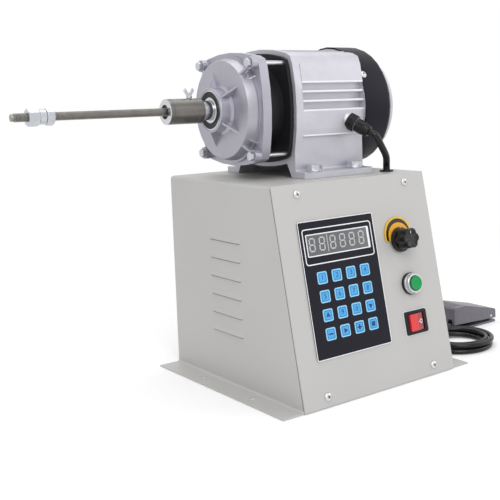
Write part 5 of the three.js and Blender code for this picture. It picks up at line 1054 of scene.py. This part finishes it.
def floor_material():
    """White floor that keeps the object's shadow and fades to plain white away from it."""
    mat = bpy.data.materials.new("floor_white")
    mat.use_nodes = True
    nodes, links = mat.node_tree.nodes, mat.node_tree.links
    shader = nodes["Principled BSDF"]
    shader.inputs["Base Color"].default_value = (0.94, 0.94, 0.945, 1)
    shader.inputs["Roughness"].default_value = 0.85
    shader.inputs["Specular IOR Level"].default_value = 0.1
    seen = seen_rays(nodes, links)
    plus = nodes.new("ShaderNodeAddShader")
    links.new(shader.outputs["BSDF"], plus.inputs[0])
    links.new(glow(nodes, FLOOR_LIFT), plus.inputs[1])
    near = mixed(nodes, links, seen, shader.outputs["BSDF"], plus.outputs["Shader"])
    where = nodes.new("ShaderNodeTexCoord")
    reach = nodes.new("ShaderNodeVectorMath")
    reach.operation = "LENGTH"
    links.new(where.outputs["Object"], reach.inputs[0])
    fade = nodes.new("ShaderNodeMapRange")
    fade.inputs["From Min"].default_value = FADE_FROM
    fade.inputs["From Max"].default_value = FADE_TO
    links.new(reach.outputs["Value"], fade.inputs["Value"])
    both = nodes.new("ShaderNodeMath")
    both.operation = "MULTIPLY"
    links.new(fade.outputs["Result"], both.inputs[0])
    links.new(seen, both.inputs[1])
    far = mixed(nodes, links, both.outputs["Value"], near, glow(nodes, 1.0))
    links.new(far, nodes["Material Output"].inputs["Surface"])
    return mat


FLOOR_HALF, FLOOR_DROP = 6, 0.0004
WHITE, WORLD_LIGHT, WORLD_SEEN = (1, 1, 1, 1), 0.62, 1.0


def stage():
    """The floor, and a world that is plain white where it is seen."""
    signs = ((-1, -1), (1, -1), (1, 1), (-1, 1))
    corners = [(x * FLOOR_HALF, y * FLOOR_HALF, -FLOOR_DROP) for x, y in signs]
    mesh = bpy.data.meshes.new("floor")
    mesh.from_pydata(corners, [], [(0, 1, 2, 3)])
    floor = bpy.data.objects.new("floor", mesh)
    bpy.context.scene.collection.objects.link(floor)
    mesh.materials.append(floor_material())
    world = bpy.data.worlds.new("studio")
    bpy.context.scene.world = world
    world.use_nodes = True
    nodes, links = world.node_tree.nodes, world.node_tree.links
    back = nodes["Background"]
    back.inputs["Color"].default_value = WHITE
    back.inputs["Strength"].default_value = WORLD_LIGHT
    white = nodes.new("ShaderNodeBackground")
    white.inputs["Color"].default_value = WHITE
    white.inputs["Strength"].default_value = WORLD_SEEN
    seen = seen_rays(nodes, links)
    whole = mixed(nodes, links, seen, back.outputs["Background"], white.outputs["Background"])
    links.new(whole, nodes["World Output"].inputs["Surface"])


def lamp(name, spot, target, size, energy):
    """A square area light that looks at the target."""
    data = bpy.data.lights.new(name, "AREA")
    data.shape = "SQUARE"
    data.size = size
    data.energy = energy
    obj = bpy.data.objects.new(name, data)
    bpy.context.scene.collection.objects.link(obj)
    way = (Vector(target) - Vector(spot)).normalized()
    obj.matrix_world = Matrix.Translation(spot) @ way.to_track_quat("-Z", "Y").to_matrix().to_4x4()


stage()
lamp("key", (-1.1, -1.9, 1.9), (0, 0, 0.2), 1.6, 26)
lamp("fill", (1.9, -1.3, 1.2), (0, 0, 0.2), 1.6, 8)
lamp("top", (0.1, 0.4, 2.3), (0, 0, 0.2), 1.8, 14)

scene = bpy.context.scene
scene.view_settings.view_transform = "Standard"
